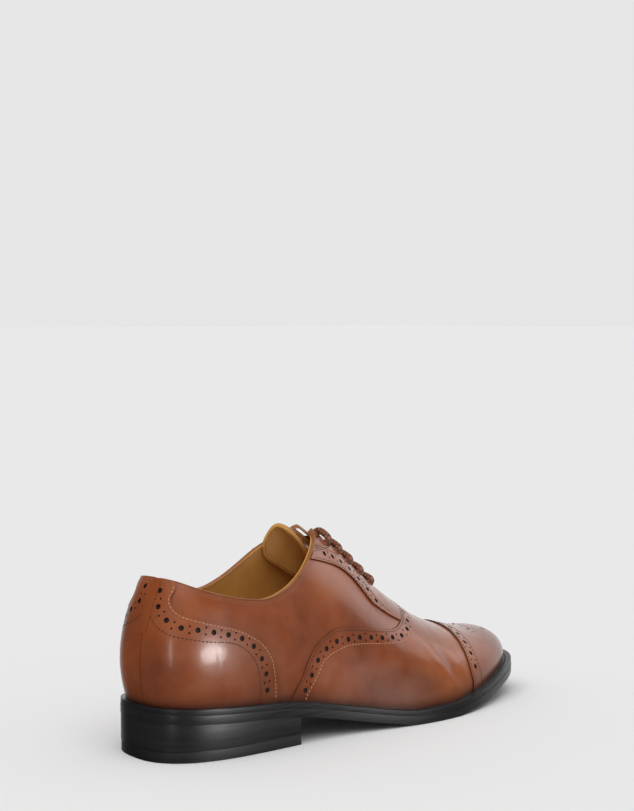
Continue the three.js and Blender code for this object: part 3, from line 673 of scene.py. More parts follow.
def burnishAndPaintedShade(obj):
    # how far the leather is darkened: real burnishing at the toe and heel, and painted shade along the feather
    # line and in the folds
    points = getPoints(obj) / mm - shift
    x = points[:, 0]
    edge, toe, heel, foldShade = burnishAndShadeAmounts.values()
    value = (np.exp(-np.clip(points[:, 2] - featherAt(x), 0, None) / edge["fade"]) * edge["most"]
             + np.clip((x - toe["from"]) / toe["over"], 0, 1) * toe["most"]
             + np.clip((heel["from"] - x) / heel["over"], 0, 1) * heel["most"]
             + np.clip(-foldHeight(points) * foldShade["share"], 0, foldShade["most"]))
    layer = obj.data.attributes.new("burnishAndPaintedShade", "FLOAT", "POINT")
    layer.data.foreach_set("value", np.clip(value, 0, 1).astype(np.float32))


def newMaterial(name):
    material = bpy.data.materials.new(name)
    material.use_nodes = True
    return material, material.node_tree


def setInputs(tree, node, inputs):
    # each socket takes a value, or a link from another node's output
    for socket, value in inputs.items():
        if isinstance(value, bpy.types.NodeSocket):
            tree.links.new(value, node.inputs[socket])
        else:
            node.inputs[socket].default_value = value


def addNode(tree, kind, inputs, **settings):
    node = tree.nodes.new("ShaderNode" + kind)
    for key, value in settings.items():
        setattr(node, key, value)
    setInputs(tree, node, inputs)
    return node.outputs


def objectPattern(tree, scale):
    coords = addNode(tree, "TexCoord", {})["Object"]
    return addNode(tree, "Mapping", {"Scale": scale, "Vector": coords})["Vector"]


def noise(tree, vector, scale, detail):
    inputs = {"Scale": scale, "Detail": detail, "Roughness": 0.55, "Vector": vector}
    return addNode(tree, "TexNoise", inputs)["Fac"]


def ramp(tree, value, stops):
    colours = tree.nodes.new("ShaderNodeValToRGB")
    elements = colours.color_ramp.elements
    while len(elements) < len(stops):
        elements.new(0.5)
    for element, (place, colour) in zip(elements, stops):
        element.position = place
        element.color = (*colour, 1)
    tree.links.new(value, colours.inputs["Fac"])
    return colours.outputs["Color"]


def tinted(tree, factor, under, over):
    inputs = {"Factor": factor, "A": under, "B": (*over, 1)}
    return addNode(tree, "Mix", inputs, data_type="RGBA")["Result"]


def mapRange(tree, value, low, high, fromLow, fromHigh):
    inputs = {"From Min": fromLow, "From Max": fromHigh, "To Min": low, "To Max": high, "Value": value}
    return addNode(tree, "MapRange", inputs)["Result"]


def bump(tree, shader, height, strength, distance, **before):
    inputs = {"Strength": strength, "Distance": distance, "Height": height, **before}
    normal = addNode(tree, "Bump", inputs)["Normal"]
    tree.links.new(normal, shader.inputs["Normal"])
    return normal


calf = {
    "pale": (0.40, 0.112, 0.030),
    "mid": (0.31, 0.069, 0.0145),
    "deep": (0.195, 0.043, 0.0115),
    # the darkest colour, used both for burnishing and for painted shade
    "burnishAndShadeColour": (0.07, 0.018, 0.007),
    "gloss": 0.34,
    "coat": 0.35,
    "coatRough": 0.16,
    "clouds": 22,
    "streaks": (60, 60, 190),
    "wear": 90,
    "pores": 1900,
    "grain": 260,
}


def makeCalf():
    material, tree = newMaterial("cognacCalf")
    shader = tree.nodes["Principled BSDF"]
    vector = objectPattern(tree, (1, 1, 1))
    cloud = noise(tree, vector, calf["clouds"], 5)
    streak = noise(tree, objectPattern(tree, calf["streaks"]), 1.0, 3)
    colour = ramp(tree, cloud, [(0.30, calf["deep"]), (0.5, calf["mid"]), (0.72, calf["pale"])])
    colour = tinted(tree, mapRange(tree, streak, 0, 0.16, 0.4, 0.7), colour, calf["deep"])
    # this attribute darkens the colour: burnished toe and heel, painted shade along the feather line and in
    # the folds
    burnishShadeFactor = addNode(tree, "Attribute", {}, attribute_name="burnishAndPaintedShade")["Fac"]
    gloss = noise(tree, vector, calf["wear"], 4)
    setInputs(tree, shader, {
        "Base Color": tinted(tree, burnishShadeFactor, colour, calf["burnishAndShadeColour"]),
        "Roughness": mapRange(tree, gloss, calf["gloss"] - 0.05, calf["gloss"] + 0.08, 0.3, 0.7),
        "Coat Weight": calf["coat"],
        "Coat Roughness": calf["coatRough"],
        "Specular IOR Level": 0.5,
    })
    grain = addNode(tree, "TexVoronoi", {"Scale": calf["pores"], "Vector": vector})["Distance"]
    pores = bump(tree, shader, grain, 0.10, 0.00006)
    bump(tree, shader, noise(tree, vector, calf["grain"], 6), 0.12, 0.0003, Normal=pores)
    return material


def makePlain(name, colours, rough, scale=120.0, bumpScale=700.0, bumpStrength=0.25, deep=0.0002, coat=0.0,
              stretch=(1, 1, 1), metal=0.0):
    # a finish with clouded colour and a fine surface
    material, tree = newMaterial(name)
    shader = tree.nodes["Principled BSDF"]
    vector = objectPattern(tree, stretch)
    cloud = noise(tree, vector, scale, 5)
    setInputs(tree, shader, {
        "Base Color": ramp(tree, cloud, [(0.3, colours[0]), (0.7, colours[1])]),
        "Roughness": mapRange(tree, cloud, rough[0], rough[1], 0.3, 0.7),
        "Coat Weight": coat,
        "Coat Roughness": 0.2,
        "Metallic": metal,
    })
    bump(tree, shader, noise(tree, vector, bumpScale, 4), bumpStrength, deep)
    return material


# gap is painted shade between the yarns, yarn is the lace's own colour
braid = {"long": 900, "round": 6, "gap": (0.10, 0.030, 0.012), "yarn": (0.40, 0.13, 0.05)}


def makeBraid():
    # a round braid: two sets of slanting yarns, drawn on the bead's own map, with painted shade darkening the
    # gaps between the yarns
    material, tree = newMaterial("wovenLace")
    shader = tree.nodes["Principled BSDF"]
    uv = addNode(tree, "UVMap", {}, uv_map="beadMap")["UV"]
    waves = []
    for lean in (1, -1):
        turned = addNode(tree, "Mapping", {"Scale": (braid["long"], lean * braid["round"], 1), "Vector": uv})
        split = addNode(tree, "SeparateXYZ", {"Vector": turned["Vector"]})
        total = addNode(tree, "Math", {0: split["X"], 1: split["Y"]}, operation="ADD")["Value"]
        waves.append(addNode(tree, "Math", {0: total, 1: 1.0}, operation="PINGPONG")["Value"])
    weave = addNode(tree, "Math", {0: waves[0], 1: waves[1]}, operation="MULTIPLY")["Value"]
    setInputs(tree, shader, {
        "Base Color": ramp(tree, weave, [(0.0, braid["gap"]), (0.7, braid["yarn"])]),
        "Roughness": 0.62,
        "Sheen Weight": 0.05,
    })
    bump(tree, shader, weave, 0.6, 0.00025)
    return material


calfSkin = makeCalf()
rawEdge = makePlain("burnishedEdge", [(0.09, 0.03, 0.013), (0.16, 0.055, 0.022)], (0.45, 0.6))
# near-black paint for the inside of punched holes: painted shade in the hole
holeShade = makePlain("punchedHoleShade", [(0.012, 0.006, 0.004), (0.03, 0.012, 0.007)], (0.7, 0.85))
foldedEdge = makePlain("foldedEdge", [(0.28, 0.095, 0.032), (0.38, 0.15, 0.052)], (0.4, 0.5), coat=0.15)
liningSkin = makePlain("tanLining", [(0.55, 0.255, 0.05), (0.68, 0.345, 0.08)], (0.6, 0.72), scale=45,
                       bumpScale=900, bumpStrength=0.3)
paleThread = makePlain("paleThread", [(0.46, 0.23, 0.11), (0.6, 0.33, 0.17)], (0.55, 0.7), scale=900)
tanThread = makePlain("tanThread", [(0.26, 0.105, 0.045), (0.38, 0.17, 0.08)], (0.5, 0.65), scale=900)
darkThread = makePlain("darkThread", [(0.05, 0.018, 0.009), (0.10, 0.035, 0.016)], (0.5, 0.6), scale=900)
blackThread = makePlain("blackThread", [(0.012, 0.012, 0.013), (0.035, 0.034, 0.036)], (0.45, 0.6), scale=900)
blackSole = makePlain("blackSoleEdge", [(0.011, 0.011, 0.0125), (0.021, 0.020, 0.0225)], (0.33, 0.46),
                      scale=1.0, bumpScale=3.0, bumpStrength=0.3, deep=0.0001, coat=0.06,
                      stretch=(30, 30, 900))
rubber = makePlain("topPieceRubber", [(0.010, 0.010, 0.011), (0.019, 0.019, 0.020)], (0.42, 0.55), scale=1.0,
                   bumpScale=3.0, bumpStrength=0.3, deep=0.0001, stretch=(30, 30, 700))
laceBraid = makeBraid()
hiddenLace = makePlain("laceYarn", [(0.07, 0.022, 0.011), (0.2, 0.065, 0.03)], (0.6, 0.75), scale=1400)
board = makePlain("leatherBoard", [(0.22, 0.15, 0.09), (0.34, 0.24, 0.15)], (0.8, 0.9), scale=300)
cork = makePlain("groundCork", [(0.10, 0.055, 0.025), (0.34, 0.22, 0.12)], (0.85, 0.95), scale=600)
steel = makePlain("nailSteel", [(0.40, 0.40, 0.41), (0.55, 0.55, 0.56)], (0.3, 0.45), scale=500, metal=1.0)
brass = makePlain("eyeletBrass", [(0.46, 0.31, 0.11), (0.6, 0.43, 0.18)], (0.25, 0.4), scale=500, metal=1.0)
aglet = makePlain("agletPlastic", [(0.05, 0.02, 0.01), (0.08, 0.03, 0.015)], (0.2, 0.3), scale=400, coat=0.5)
leatherFaces = [calfSkin, rawEdge, holeShade]
liningFaces = [liningSkin, liningSkin, holeShade]
print("finishes ready")


def settle(piece, node=None, body="shoe"):
    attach(piece, body)
    if node:
        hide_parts(node)


def settleLeather(piece, node):
    finishPiece(piece, leatherFaces)
    burnishAndPaintedShade(piece)
    settle(piece, node)


def settleLining(piece, node):
    finishPiece(piece, liningFaces)
    settle(piece, node)


# the lacing's rows, from the throat up

lacing = {
    "rows": 5, "first": 180.0, "step": 9.2, "half": 9.0,
    "wide": 2.7, "high": 2.55, "low": 1.45, "runDepth": -6.85,
    "hole": 4.4, "holeDeep": 4.0, "holeTall": 8.0,
}


def rowStation(row):
    return np.array([lacing["first"] - row * lacing["step"]])


def punchLacing(piece, side, offset):
    spots = [spotsOver(rowStation(row), lacing["half"], side) for row in range(lacing["rows"])]
    angle, girth = stacked(spots)
    normals = lastNormal(angle, girth)
    tangents = unit(np.cross(np.tile([0.0, 1.0, 0.0], (len(angle), 1)), normals))
    holes = (skin(angle, girth, offset), tangents, normals, np.full(len(angle), lacing["hole"]))
    punch(piece, [holes], lacing["holeDeep"], lacing["holeTall"])


toeCap = {"edge": 1.5, "holes": 6.0, "inner": 10.5}      # rows ahead of its rear edge


def makeToeCap():
    cap = lastSheet("toeCap", layers["cap"], angles=(1.9, math.pi), countA=110, countB=150)
    keepAhead(cap, capLine)
    row = overRow(capLine, toeCap["holes"], layers["cap"], (0.05, 1.95))
    punch(cap, [broguing(row, 4, 4), medallion(layers["cap"])])
    settleLeather(cap, "toe_cap")
    rows = [overRow(capLine, toeCap[place], layers["cap"]) for place in ("edge", "inner")]
    stitches("toeCapStitches", rows, darkThread)


rosette = {"big": 2.4, "middle": 2.0, "small": 1.0, "ring": 4.6, "eye": (265, 12), "scroll": (272, 5.6)}


def medallion(offset):
    # a rosette on the toe: big holes ringed and joined by small ones, as x, off centre and width
    big, small, ring = rosette["big"], rosette["small"], rosette["ring"]
    eyeX, eyeY = rosette["eye"]
    scrollX, scrollY = rosette["scroll"]
    spots = [(261, 0, big), (283, 0, big)]
    for side in (-1, 1):
        spots += [(eyeX, side * eyeY, big), (281, side * 9.5, rosette["middle"])]
        for turn in np.radians(-150 + 50 * np.arange(7)):
            spots.append((eyeX + ring * math.cos(turn), side * (eyeY + ring * math.sin(turn)), small))
        for turn in np.radians(100 + 32 * np.arange(6)):
            spots.append((scrollX + 8.1 * math.cos(turn), side * (scrollY + 3.4 * math.sin(turn)), small))
        spots += [(286 - 2.2 * k, side * (3.4 + 1.9 * k), small) for k in range(4)]
    spots += [(eyeX + 3.6 * k, 0, small) for k in range(5)]
    found = []
    for side in (-1, 1):
        mine = [s for s in spots if (s[1] < 0) == (side < 0)]
        x, off, width = (np.array(column, float) for column in zip(*mine))
        angle, girth = locate(x, np.where(np.abs(off) < 0.1, 0.1 * side, off), "above", side, offset)
        tangents = np.tile([1.0, 0, 0], (len(x), 1))
        normals = lastNormal(angle, girth)
        tangents = unit(tangents - normals * (tangents * normals).sum(1)[:, None])
        found.append((skin(angle, girth, offset), tangents, normals, width))
    return stacked(found)


wingHoles = [(93, 1.5), (96, 6), (101, 15), (106, 24), (113, 31), (121, 36), (130, 38), (139, 40), (147, 41),
             (156, 41), (165, 42), (174, 42), (183, 44), (190, 47), (196, 52), (199.5, 56)]
wingInner = [(97, 0.5), (99, 5), (106, 16), (110, 23), (116, 28), (124, 32), (132, 35), (144, 37), (157, 38),
             (172, 39), (184, 41), (192, 45), (198, 48.5), (202.5, 52), (204.5, 53.6)]


sideGirths = {-1: (0, 1), 1: (1, 2)}
underlap = 8      # how far one leather runs on under the next
wing = {"edge": 1.3, "edgeBow": 0.3, "bow": 2.0, "low": 0.5, "top": 56}


def makeVamp():
    offset = layers["overlay"]
    vamp = lastSheet("vampSkin", offset, angles=(0.9, 2.45), countA=170, countB=170)
    keepAhead(vamp, wingLine)
    keepBehind(vamp, capLine, shiftX=underlap)
    edge = [beside(sideRow(wingLine, side, offset, wing["low"], wing["top"]), side, side * wing["edge"])
            for side in (-1, 1)]
    inner, holes = ([sideRow(line, side, offset) for side in (-1, 1)] for line in (wingInner, wingHoles))
    punch(vamp, [broguing(joined(*holes, wing["bow"]))])
    settleLeather(vamp, "vamp")
    stitches("wingStitches", [joined(*edge, wing["edgeBow"])], darkThread)
    stitches("wingInnerStitches", [joined(*inner, wing["bow"])], paleThread)


def makeQuarter(name, side):
    quarter = lastSheet("quarter" + name.title(), layers["quarter"], sideGirths[side], (0.2, 2.1), 170, 80)
    keepAhead(quarter, foxingLine, shiftX=-underlap, shiftUp=-underlap)
    keepBehind(quarter, wingLine, shiftX=underlap, shiftUp=-underlap)
    keepUnder(quarter, toplines[side])
    openSlot(quarter)
    punchLacing(quarter, side, layers["quarter"])
    settleLeather(quarter, "quarter_" + name)


facingHoles = [(126, 87.3), (130, 87), (139, 86), (149, 83), (157, 78), (162, 72), (167, 66), (170, 59),
               (174, 52)]
facingUpper = [(125, 91), (129, 91), (140, 89), (152, 86), (159, 83), (166, 72), (169, 66), (178, 56)]
foxingHoles = [(15, 68), (13, 65), (9, 55), (10, 47), (16, 44), (26, 43), (36, 41), (46, 39), (56, 34),
               (63, 25), (66, 16), (67, 6), (67, 2)]
foxingInner = [(11, 66), (10, 61), (6, 54), (5, 47), (8, 41), (14, 39), (27, 37), (40, 36), (49, 33), (57, 26),
               (60, 19), (62, 8), (62, 1)]


seamIn = 1.2      # a stitched row's distance from the leather's edge
facingSeam = {"lowest": 54, "highest": 83, "behind": 119}


def makeFacing(name, side):
    offset = layers["overlay"]
    girths = (0.4, 1) if side < 0 else (1, 1.6)
    facing = lastSheet("facing" + name.title(), offset, girths, (0.9, 2.1), 130, 70, foot=0)
    keepAhead(facing, facingLine)
    keepBehind(facing, wingLine, shiftX=-0.3, shiftUp=0.3)
    keepUnder(facing, toplines[side])
    openSlot(facing)
    punch(facing, [broguing(sideRow(facingHoles, side, offset))])
    punchLacing(facing, side, offset)
    settleLeather(facing, "facing_" + name)
    edge = sideRow(facingLine, side, offset, **facingSeam)
    rows = [beside(edge, side, side * seamIn), sideRow(facingUpper, side, offset)]
    stitches("facingStitches" + name.title(), rows, darkThread)


def makeFoxing(name, side):
    offset = layers["overlay"]
    foxing = lastSheet("heelFoxing" + name.title(), offset, sideGirths[side], (0.003, 1.2), 150, 90)
    keepBehind(foxing, foxingLine)
    keepUnder(foxing, toplines[side])
    punch(foxing, [broguing(sideRow(foxingHoles, side, offset, behind=5))])
    settleLeather(foxing, "heel_foxing_" + name)
    edge = beside(sideRow(foxingLine, side, offset, highest=67), side, side * -seamIn)
    stitches("foxingEdgeStitches" + name.title(), [edge], paleThread)
    inner = sideRow(foxingInner, side, offset, behind=5.5)
    stitches("foxingInnerStitches" + name.title(), [inner], darkThread)


for title, make in (("toe cap", makeToeCap), ("vamp", makeVamp)):
    make()
    print(title, "made")
for sideName, sideSign in sideNames.items():
    makeQuarter(sideName, sideSign)
    makeFacing(sideName, sideSign)
    makeFoxing(sideName, sideSign)
    print(sideName, "quarter, facing and foxing made")


backstay = {"half": 3.4, "low": 42.0, "tip": 3, "lift": -0.2, "thick": 0.4, "from": -30, "to": 25}


def makeBackstay():
    # a narrow plain strip over the upper part of the back seam
    low = featherAt(0.0) + backstay["low"]
    seam = feather.outer(0.0)
    half = backstay["half"]
    stay = lastSheet("backstaySkin", backstay["lift"], angles=(0, 0.9), countA=90, countB=160,
                     thickness=backstay["thick"])
    turn = np.linspace(0, -math.pi, 13)
    tip = np.stack([seam + half * np.cos(turn), low + backstay["tip"] * np.sin(turn)], 1)
    outline = np.vstack([tip, [(seam - half, far), (seam + half, far)]])
    cut(stay, flatCutter(outline, "behind", backstay["from"], backstay["to"]))
    keepUnder(stay, outerTopline)
    settleLeather(stay, "backstay")


makeBackstay()
grip = {"thick": 0.8, "drop": 1.2}


def makeLinings():
    for name, side in sideNames.items():
        lining = lastSheet("quarterLining" + name.title(), layers["lining"], sideGirths[side], (0.3, 2.1),
                           150, 80)
        keepAhead(lining, gripLine)
        keepBehind(lining, liningSeam)
        keepUnder(lining, toplines[side])
        openSlot(lining)
        punchLacing(lining, side, layers["lining"])
        settleLining(lining, "quarter_lining_" + name)
    heel = lastSheet("heelGripSkin", layers["grip"], angles=(0, 0.9), countA=90, thickness=grip["thick"])
    keepBehind(heel, gripLine)
    keepUnder(heel, outerTopline, grip["drop"])
    settleLining(heel, "heel_grip")
    front = lastSheet("vampLining", layers["lining"], angles=(1.3, math.pi), countA=140, countB=110)
    keepAhead(front, liningSeam, shiftX=0.3, shiftUp=-0.3)
    settleLining(front, "vamp_lining")


makeLinings()
print("linings made")


def level(height):
    return lambda x: height + 0 * x


def plate(name, inset, lowAt, highAt, first=0.0, last=1e9, countA=220, countB=12, rounds=(0.3, 0.3)):
    # a sole part: the outline moved inwards, filled as a grid and raised to its thickness
    tip, seed = 0.015, 0.1
    edges = Edges(inset)
    start = max(tip, float(edges.angleOf(first)))
    end = min(math.pi - tip, float(edges.angleOf(last)))

    def place(a, b):
        angle = start + (end - start) * a
        x = edges.station(angle)
        y = edges.outer(angle) + (edges.inner(angle) - edges.outer(angle)) * b
        return np.stack([x, y, lowAt(x)], 1)

    part = gridSheet(name, place, countA, countB)
    rise = {"value": (0, 0, seed * mm)}
    editAll(part, lambda: bpy.ops.mesh.extrude_region_move(TRANSFORM_OT_translate=rise))
    points = getPoints(part) / mm - shift
    raised = points[:, 2] - lowAt(points[:, 0]) > seed / 2
    points[raised, 2] = highAt(points[raised, 0])
    setPoints(part, inRow(points))
    editAll(part, lambda: bpy.ops.mesh.normals_make_consistent(inside=False))
    for up, width in zip((-1, 1), rounds):
        weightRim(part, up)
        applied(part, "BEVEL", width=width * mm, segments=5, limit_method="WEIGHT")
    return part


def weightRim(part, up, flat=0.75, steep=0.35):
    # marks the edges between the wall and the top (1) or the underside (-1)
    rises = {}
    for face in part.data.polygons:
        for key in face.edge_keys:
            rises.setdefault(key, []).append(face.normal.z)
    weights = []
    for edge in part.data.edges:
        pair = sorted(rises.get(edge.key, []), key=lambda z: z * up)
        weights.append(float(len(pair) == 2 and pair[1] * up > flat and abs(pair[0]) < steep))
    name = "bevel_weight_edge"
    layer = part.data.attributes.get(name) or part.data.attributes.new(name, "FLOAT", "EDGE")
    layer.data.foreach_set("value", weights)


def makeBottom():
    top, gap = thick["topPiece"], thick["gap"]
    sockLow = thick["insole"] + gap
    sockIn = 2 * gap - 0.3 - (layers["lining"] - thick["leather"])
    heel = {"last": breast, "countA": 120}
    plates = [
        ("outsoleShape", "outsole", blackSole, "sole_leather", level(0), bottomAt,
         lambda x: bottomAt(x) + thick["outsole"] + 0.15, {"rounds": (1.3, 0.2)}),
        ("weltStrip", "welt", blackSole, "sole_leather", level(0.2), lambda x: weltAt(x) - 0.1,
         lambda x: weltAt(x) + thick["welt"], {"rounds": (0.15, 1.1)}),
        ("heelStack", "heel_stack", blackSole, "sole_leather", level(0.2), level(top + 0.12),
         lambda x: bottomAt(x) - 0.02, {"rounds": (0.2, 0.2), **heel}),
        ("topPiece", "top_piece", rubber, "top_piece_rubber", level(0.45), level(0), level(top),
         {"rounds": (0.8, 0.25), **heel}),
        ("sockLeather", "sock", liningSkin, "lining_leather", lambda x: soleMargin(x) + sockIn,
         lambda x: featherAt(x) + sockLow, lambda x: featherAt(x) + sockLow + 1.0, {"rounds": (0.1, 0.3)}),
    ]
    for name, node, finish, slotName, inset, lowAt, highAt, settings in plates:
        part = plate(name, inset, lowAt, highAt, **settings)
        finishPiece(part, [finish])
        settle(part, node)


makeBottom()
print("sole and heel made")


weltSeam = {"size": (2.5, 0.95, 0.7), "pitch": 3.1, "rise": 0.12, "in": 0.9,
            "from": 0.9, "short": 0.02, "spots": 900}


def makeWeltStitches():
    edges = Edges(lambda x: 0.5 * soleMargin(x) + weltSeam["in"])
    angle = np.linspace(weltSeam["from"], math.pi - weltSeam["short"], weltSeam["spots"])
    x = edges.station(angle)
    for name, side in sideNames.items():
        y = edges.outer(angle) if side < 0 else edges.inner(angle)
        line = np.stack([x, y, weltAt(x) + thick["welt"] + weltSeam["rise"]], 1)
        at, tangent = paced(line, weltSeam["pitch"], 2)
        up = unit(np.array([0, 0, 1.0]) - tangent * tangent[:, 2:])
        row = copiesOf(stitchShape, "weltStitches" + name.title(), at, tangent, up, weltSeam["size"])
        finishPiece(row, [blackThread], smooth=180)
        settle(row)


makeWeltStitches()


edgeRun = {"from": 3.0, "highest": 112, "clear": 0.6, "lead": 1.5, "short": 0.5, "spots": 60}


def edgeLine(side):
    # along the topline from the back seam to the facing's top, then down the lacing slot's edge
    offset = layers["quarter"]
    curve = throughPoints(toplines[side], 16)
    curve = curve[(curve[:, 0] > edgeRun["from"]) & (curve[:, 1] < edgeRun["highest"])]
    angle, girth = locate(curve[:, 0], curve[:, 1], "side", side, offset)
    off = np.abs(skin(angle, girth, offset)[:, 1] - centreLine(curve[:, 0]))
    keep = off > facingGap + edgeRun["clear"]
    angle, girth = angle[keep], girth[keep]
    top = skin(angle[-1], girth[-1], offset)[0] + edgeRun["lead"]
    x = np.linspace(top, slotEnd - facingGap - edgeRun["short"], edgeRun["spots"])
    slotAngle, slotGirth = locate(x, np.full_like(x, side * facingGap), "above", side, offset)
    return np.concatenate([angle, slotAngle]), np.concatenate([girth, slotGirth])


binding = {"wide": 0.5, "high": 1.75, "centre": -2.75, "pitch": 1.0, "smoothings": 5}


def makeTopBead():
    (outerA, outerG), (innerA, innerG) = edgeLine(-1), edgeLine(1)
    angle = np.concatenate([[0.0], outerA, innerA[::-1]])
    girth = np.concatenate([outerG[:1], outerG, innerG[::-1]])
    line = skin(angle, girth, binding["centre"])
    run = runAlong(line)
    places = np.arange(0, run[-1], binding["pitch"])
    points, normals = (readAt(values, run, places) for values in (line, lastNormal(angle, girth)))
    for _ in range(binding["smoothings"]):
        points, normals = ((np.roll(v, 1, 0) + 2 * v + np.roll(v, -1, 0)) / 4 for v in (points, normals))
    tangents = unit(np.roll(points, -1, 0) - np.roll(points, 1, 0))
    normals = unit(normals - tangents * (normals * tangents).sum(1)[:, None])
    bead = sweep("toplineBinding", points, np.cross(tangents, normals), normals, binding["wide"],
                 binding["high"], binding["high"], closed=True)
    finishPiece(bead, [foldedEdge], smooth=180)
    settle(bead)


topSeam = {
    "down": (1.6, 3.0),
    "stretches": (("overlay", 4.5, 17), ("quarter", 19.5, 124), ("overlay", 124.5, 129)),
    "pitch": 2.0,
    "size": (1.45, 0.5, 0.4),
}


def makeToplineStitches():
    # a double row just under the folded edge
    for name, side in sideNames.items():
        rows = []
        for down in topSeam["down"]:
            for layer, first, last in topSeam["stretches"]:
                line = sideRow(toplines[side], side, layers[layer], 0, 106, first, last)
                rows.append(beside(line, side, side * down))
        stitches("toplineStitches" + name.title(), rows, tanThread, topSeam["pitch"], topSeam["size"])


makeTopBead()
makeToplineStitches()
print("edges bound")

tongueShape = {
    "top": 113.0, "base": 194.0, "half": 12.8, "flare": 4.8, "flareEnd": 0.2, "depth": 10.4, "drawIn": 0.041,
    "flat": 0.42, "free": 0.4, "skew": 3.5, "roll": 0.1, "corner": 0.09,
    "backDrop": 0.6, "backTrim": 0.5, "rimDrop": 0.3, "rimEnd": 0.9,
    "rimWide": 0.5, "rimHigh": 1.2, "rimInward": (0.02, 0.04), "rimSmoothings": 3, "rimClosest": 0.05,
    "seamDrop": 0.95, "seamIn": 0.07, "seamAhead": 0.035, "seamPitch": 2.4, "seamSize": (1.75, 0.62, 0.55),
}


def overPlan(x, off):
    result = np.empty((len(x), 3))
    for side in (-1, 1):
        mine = (off < 0) == (side < 0)
        result[mine] = lastPoint(*spotsOver(x[mine], np.abs(off[mine]), side))
    return result


def tonguePoint(a, b, sunk, trim=0.0):
    # a runs from the tongue's top to its root, b across it
    t, nearly = tongueShape, 0.01
    x = t["top"] + trim + (t["base"] - t["top"] - trim) * a
    zero = np.full_like(x, nearly)
    along = overPlan(x + 1, zero) - overPlan(x - 1, zero)
    along[:, 1] = 0
    along = unit(along)
    out = np.stack([-along[:, 2], 0 * x, along[:, 0]], 1)
    rounding = np.sqrt(1 - (1 - np.clip(a / t["corner"], 0, 1)) ** 2 * 0.5)
    half = t["half"] + t["flare"] * np.exp(-((a / t["flareEnd"]) ** 2))
    off = (2 * b - 1) * (half * rounding - trim) + nearly
    crest = overPlan(x, zero)
    free = 1 - np.clip(a / t["free"], 0, 1)
    free = free * free * (3 - 2 * free)
    squash = np.stack([1 + 0 * a, 1 + 0 * a, 1 - (1 - t["flat"]) * free], 1)
    point = crest + (overPlan(x, off) - crest) * squash
    point[:, 0] -= t["skew"] * off / t["half"] * free
    point[:, 2] -= t["roll"] * off * free
    point[:, 1] = centreLine(x) + (point[:, 1] - centreLine(x)) * (1 - sunk * t["drawIn"])
    return point - out * sunk


def makeTongue():
    t, leather = tongueShape, thick["leather"]
    depth, under = t["depth"], t["depth"] + leather
    backAt = (under + t["backDrop"], t["backTrim"])
    front = gridSheet("tongueFront", lambda a, b: tonguePoint(a, b, depth), 90, 60)
    back = gridSheet("tongueBack", lambda a, b: tonguePoint(a, b, *backAt), 90, 60)
    for sheet, material, node, slotName in ((front, calfSkin, "tongue", "upper_leather"),
                                            (back, liningSkin, "tongue_lining", "lining_leather")):
        middle = sheet.data.polygons[len(sheet.data.polygons) // 2]
        if middle.normal.z < 0:
            editAll(sheet, bpy.ops.mesh.flip_normals)
        thicken(sheet, leather)
        finishPiece(sheet, [material])
        if material == calfSkin:
            burnishAndPaintedShade(sheet)
        settle(sheet, node, "tongue")
    # down one edge, round the top and down the other
    a = np.concatenate([np.linspace(t["rimEnd"], 0, 90), np.zeros(60), np.linspace(0, t["rimEnd"], 90)])
    b = np.concatenate([np.zeros(90), np.linspace(0, 1, 60), np.ones(90)])
    edge = tonguePoint(a, b, under + t["rimDrop"])
    down, across = t["rimInward"]
    inner = tonguePoint(np.clip(a + down, 0, 1), b * (1 - 2 * across) + across, under + t["rimDrop"])
    for _ in range(t["rimSmoothings"]):
        edge[1:-1] = (edge[:-2] + 2 * edge[1:-1] + edge[2:]) / 4
    keep = np.concatenate([[True], np.linalg.norm(np.diff(edge, axis=0), axis=1) > t["rimClosest"]])
    edge, inner = edge[keep], inner[keep]
    tangent = unit(np.gradient(edge, axis=0))
    inward = unit(inner - edge)
    up = unit(np.cross(tangent, inward))
    bead = sweep("tongueRim", edge, np.cross(up, tangent), up, t["rimWide"], t["rimHigh"], t["rimHigh"],
                 sides=12)
    finishPiece(bead, [liningSkin], smooth=180)
    settle(bead, body="tongue")
    line = tonguePoint(np.clip(a + t["seamAhead"], 0, t["rimEnd"]), t["seamIn"] + (1 - 2 * t["seamIn"]) * b,
                       under + leather + t["seamDrop"])
    at, direction = paced(line, t["seamPitch"], 1)
    normal = unit(np.cross(direction, np.tile([0.0, 1.0, 0.0], (len(at), 1))) + 1e-6)
    row = copiesOf(stitchShape, "tongueStitches", at, direction, normal, t["seamSize"])
    finishPiece(row, [paleThread], smooth=180)
    settle(row, body="tongue")


makeTongue()
print("tongue made")

barSteps = [(9.0, lacing["runDepth"]), (9.0, -5.0), (9.0, -2.0), (9.1, -0.4), (8.3, 0.75), (6.0, 1.0)]
barShape = {"curve": 8, "spots": 90, "taper": 12, "narrow": 0.72, "middle": (0.01, 1.0)}
barLie = np.array([0.82, 0, -0.57])      # the way a flattened bar faces: down the instep


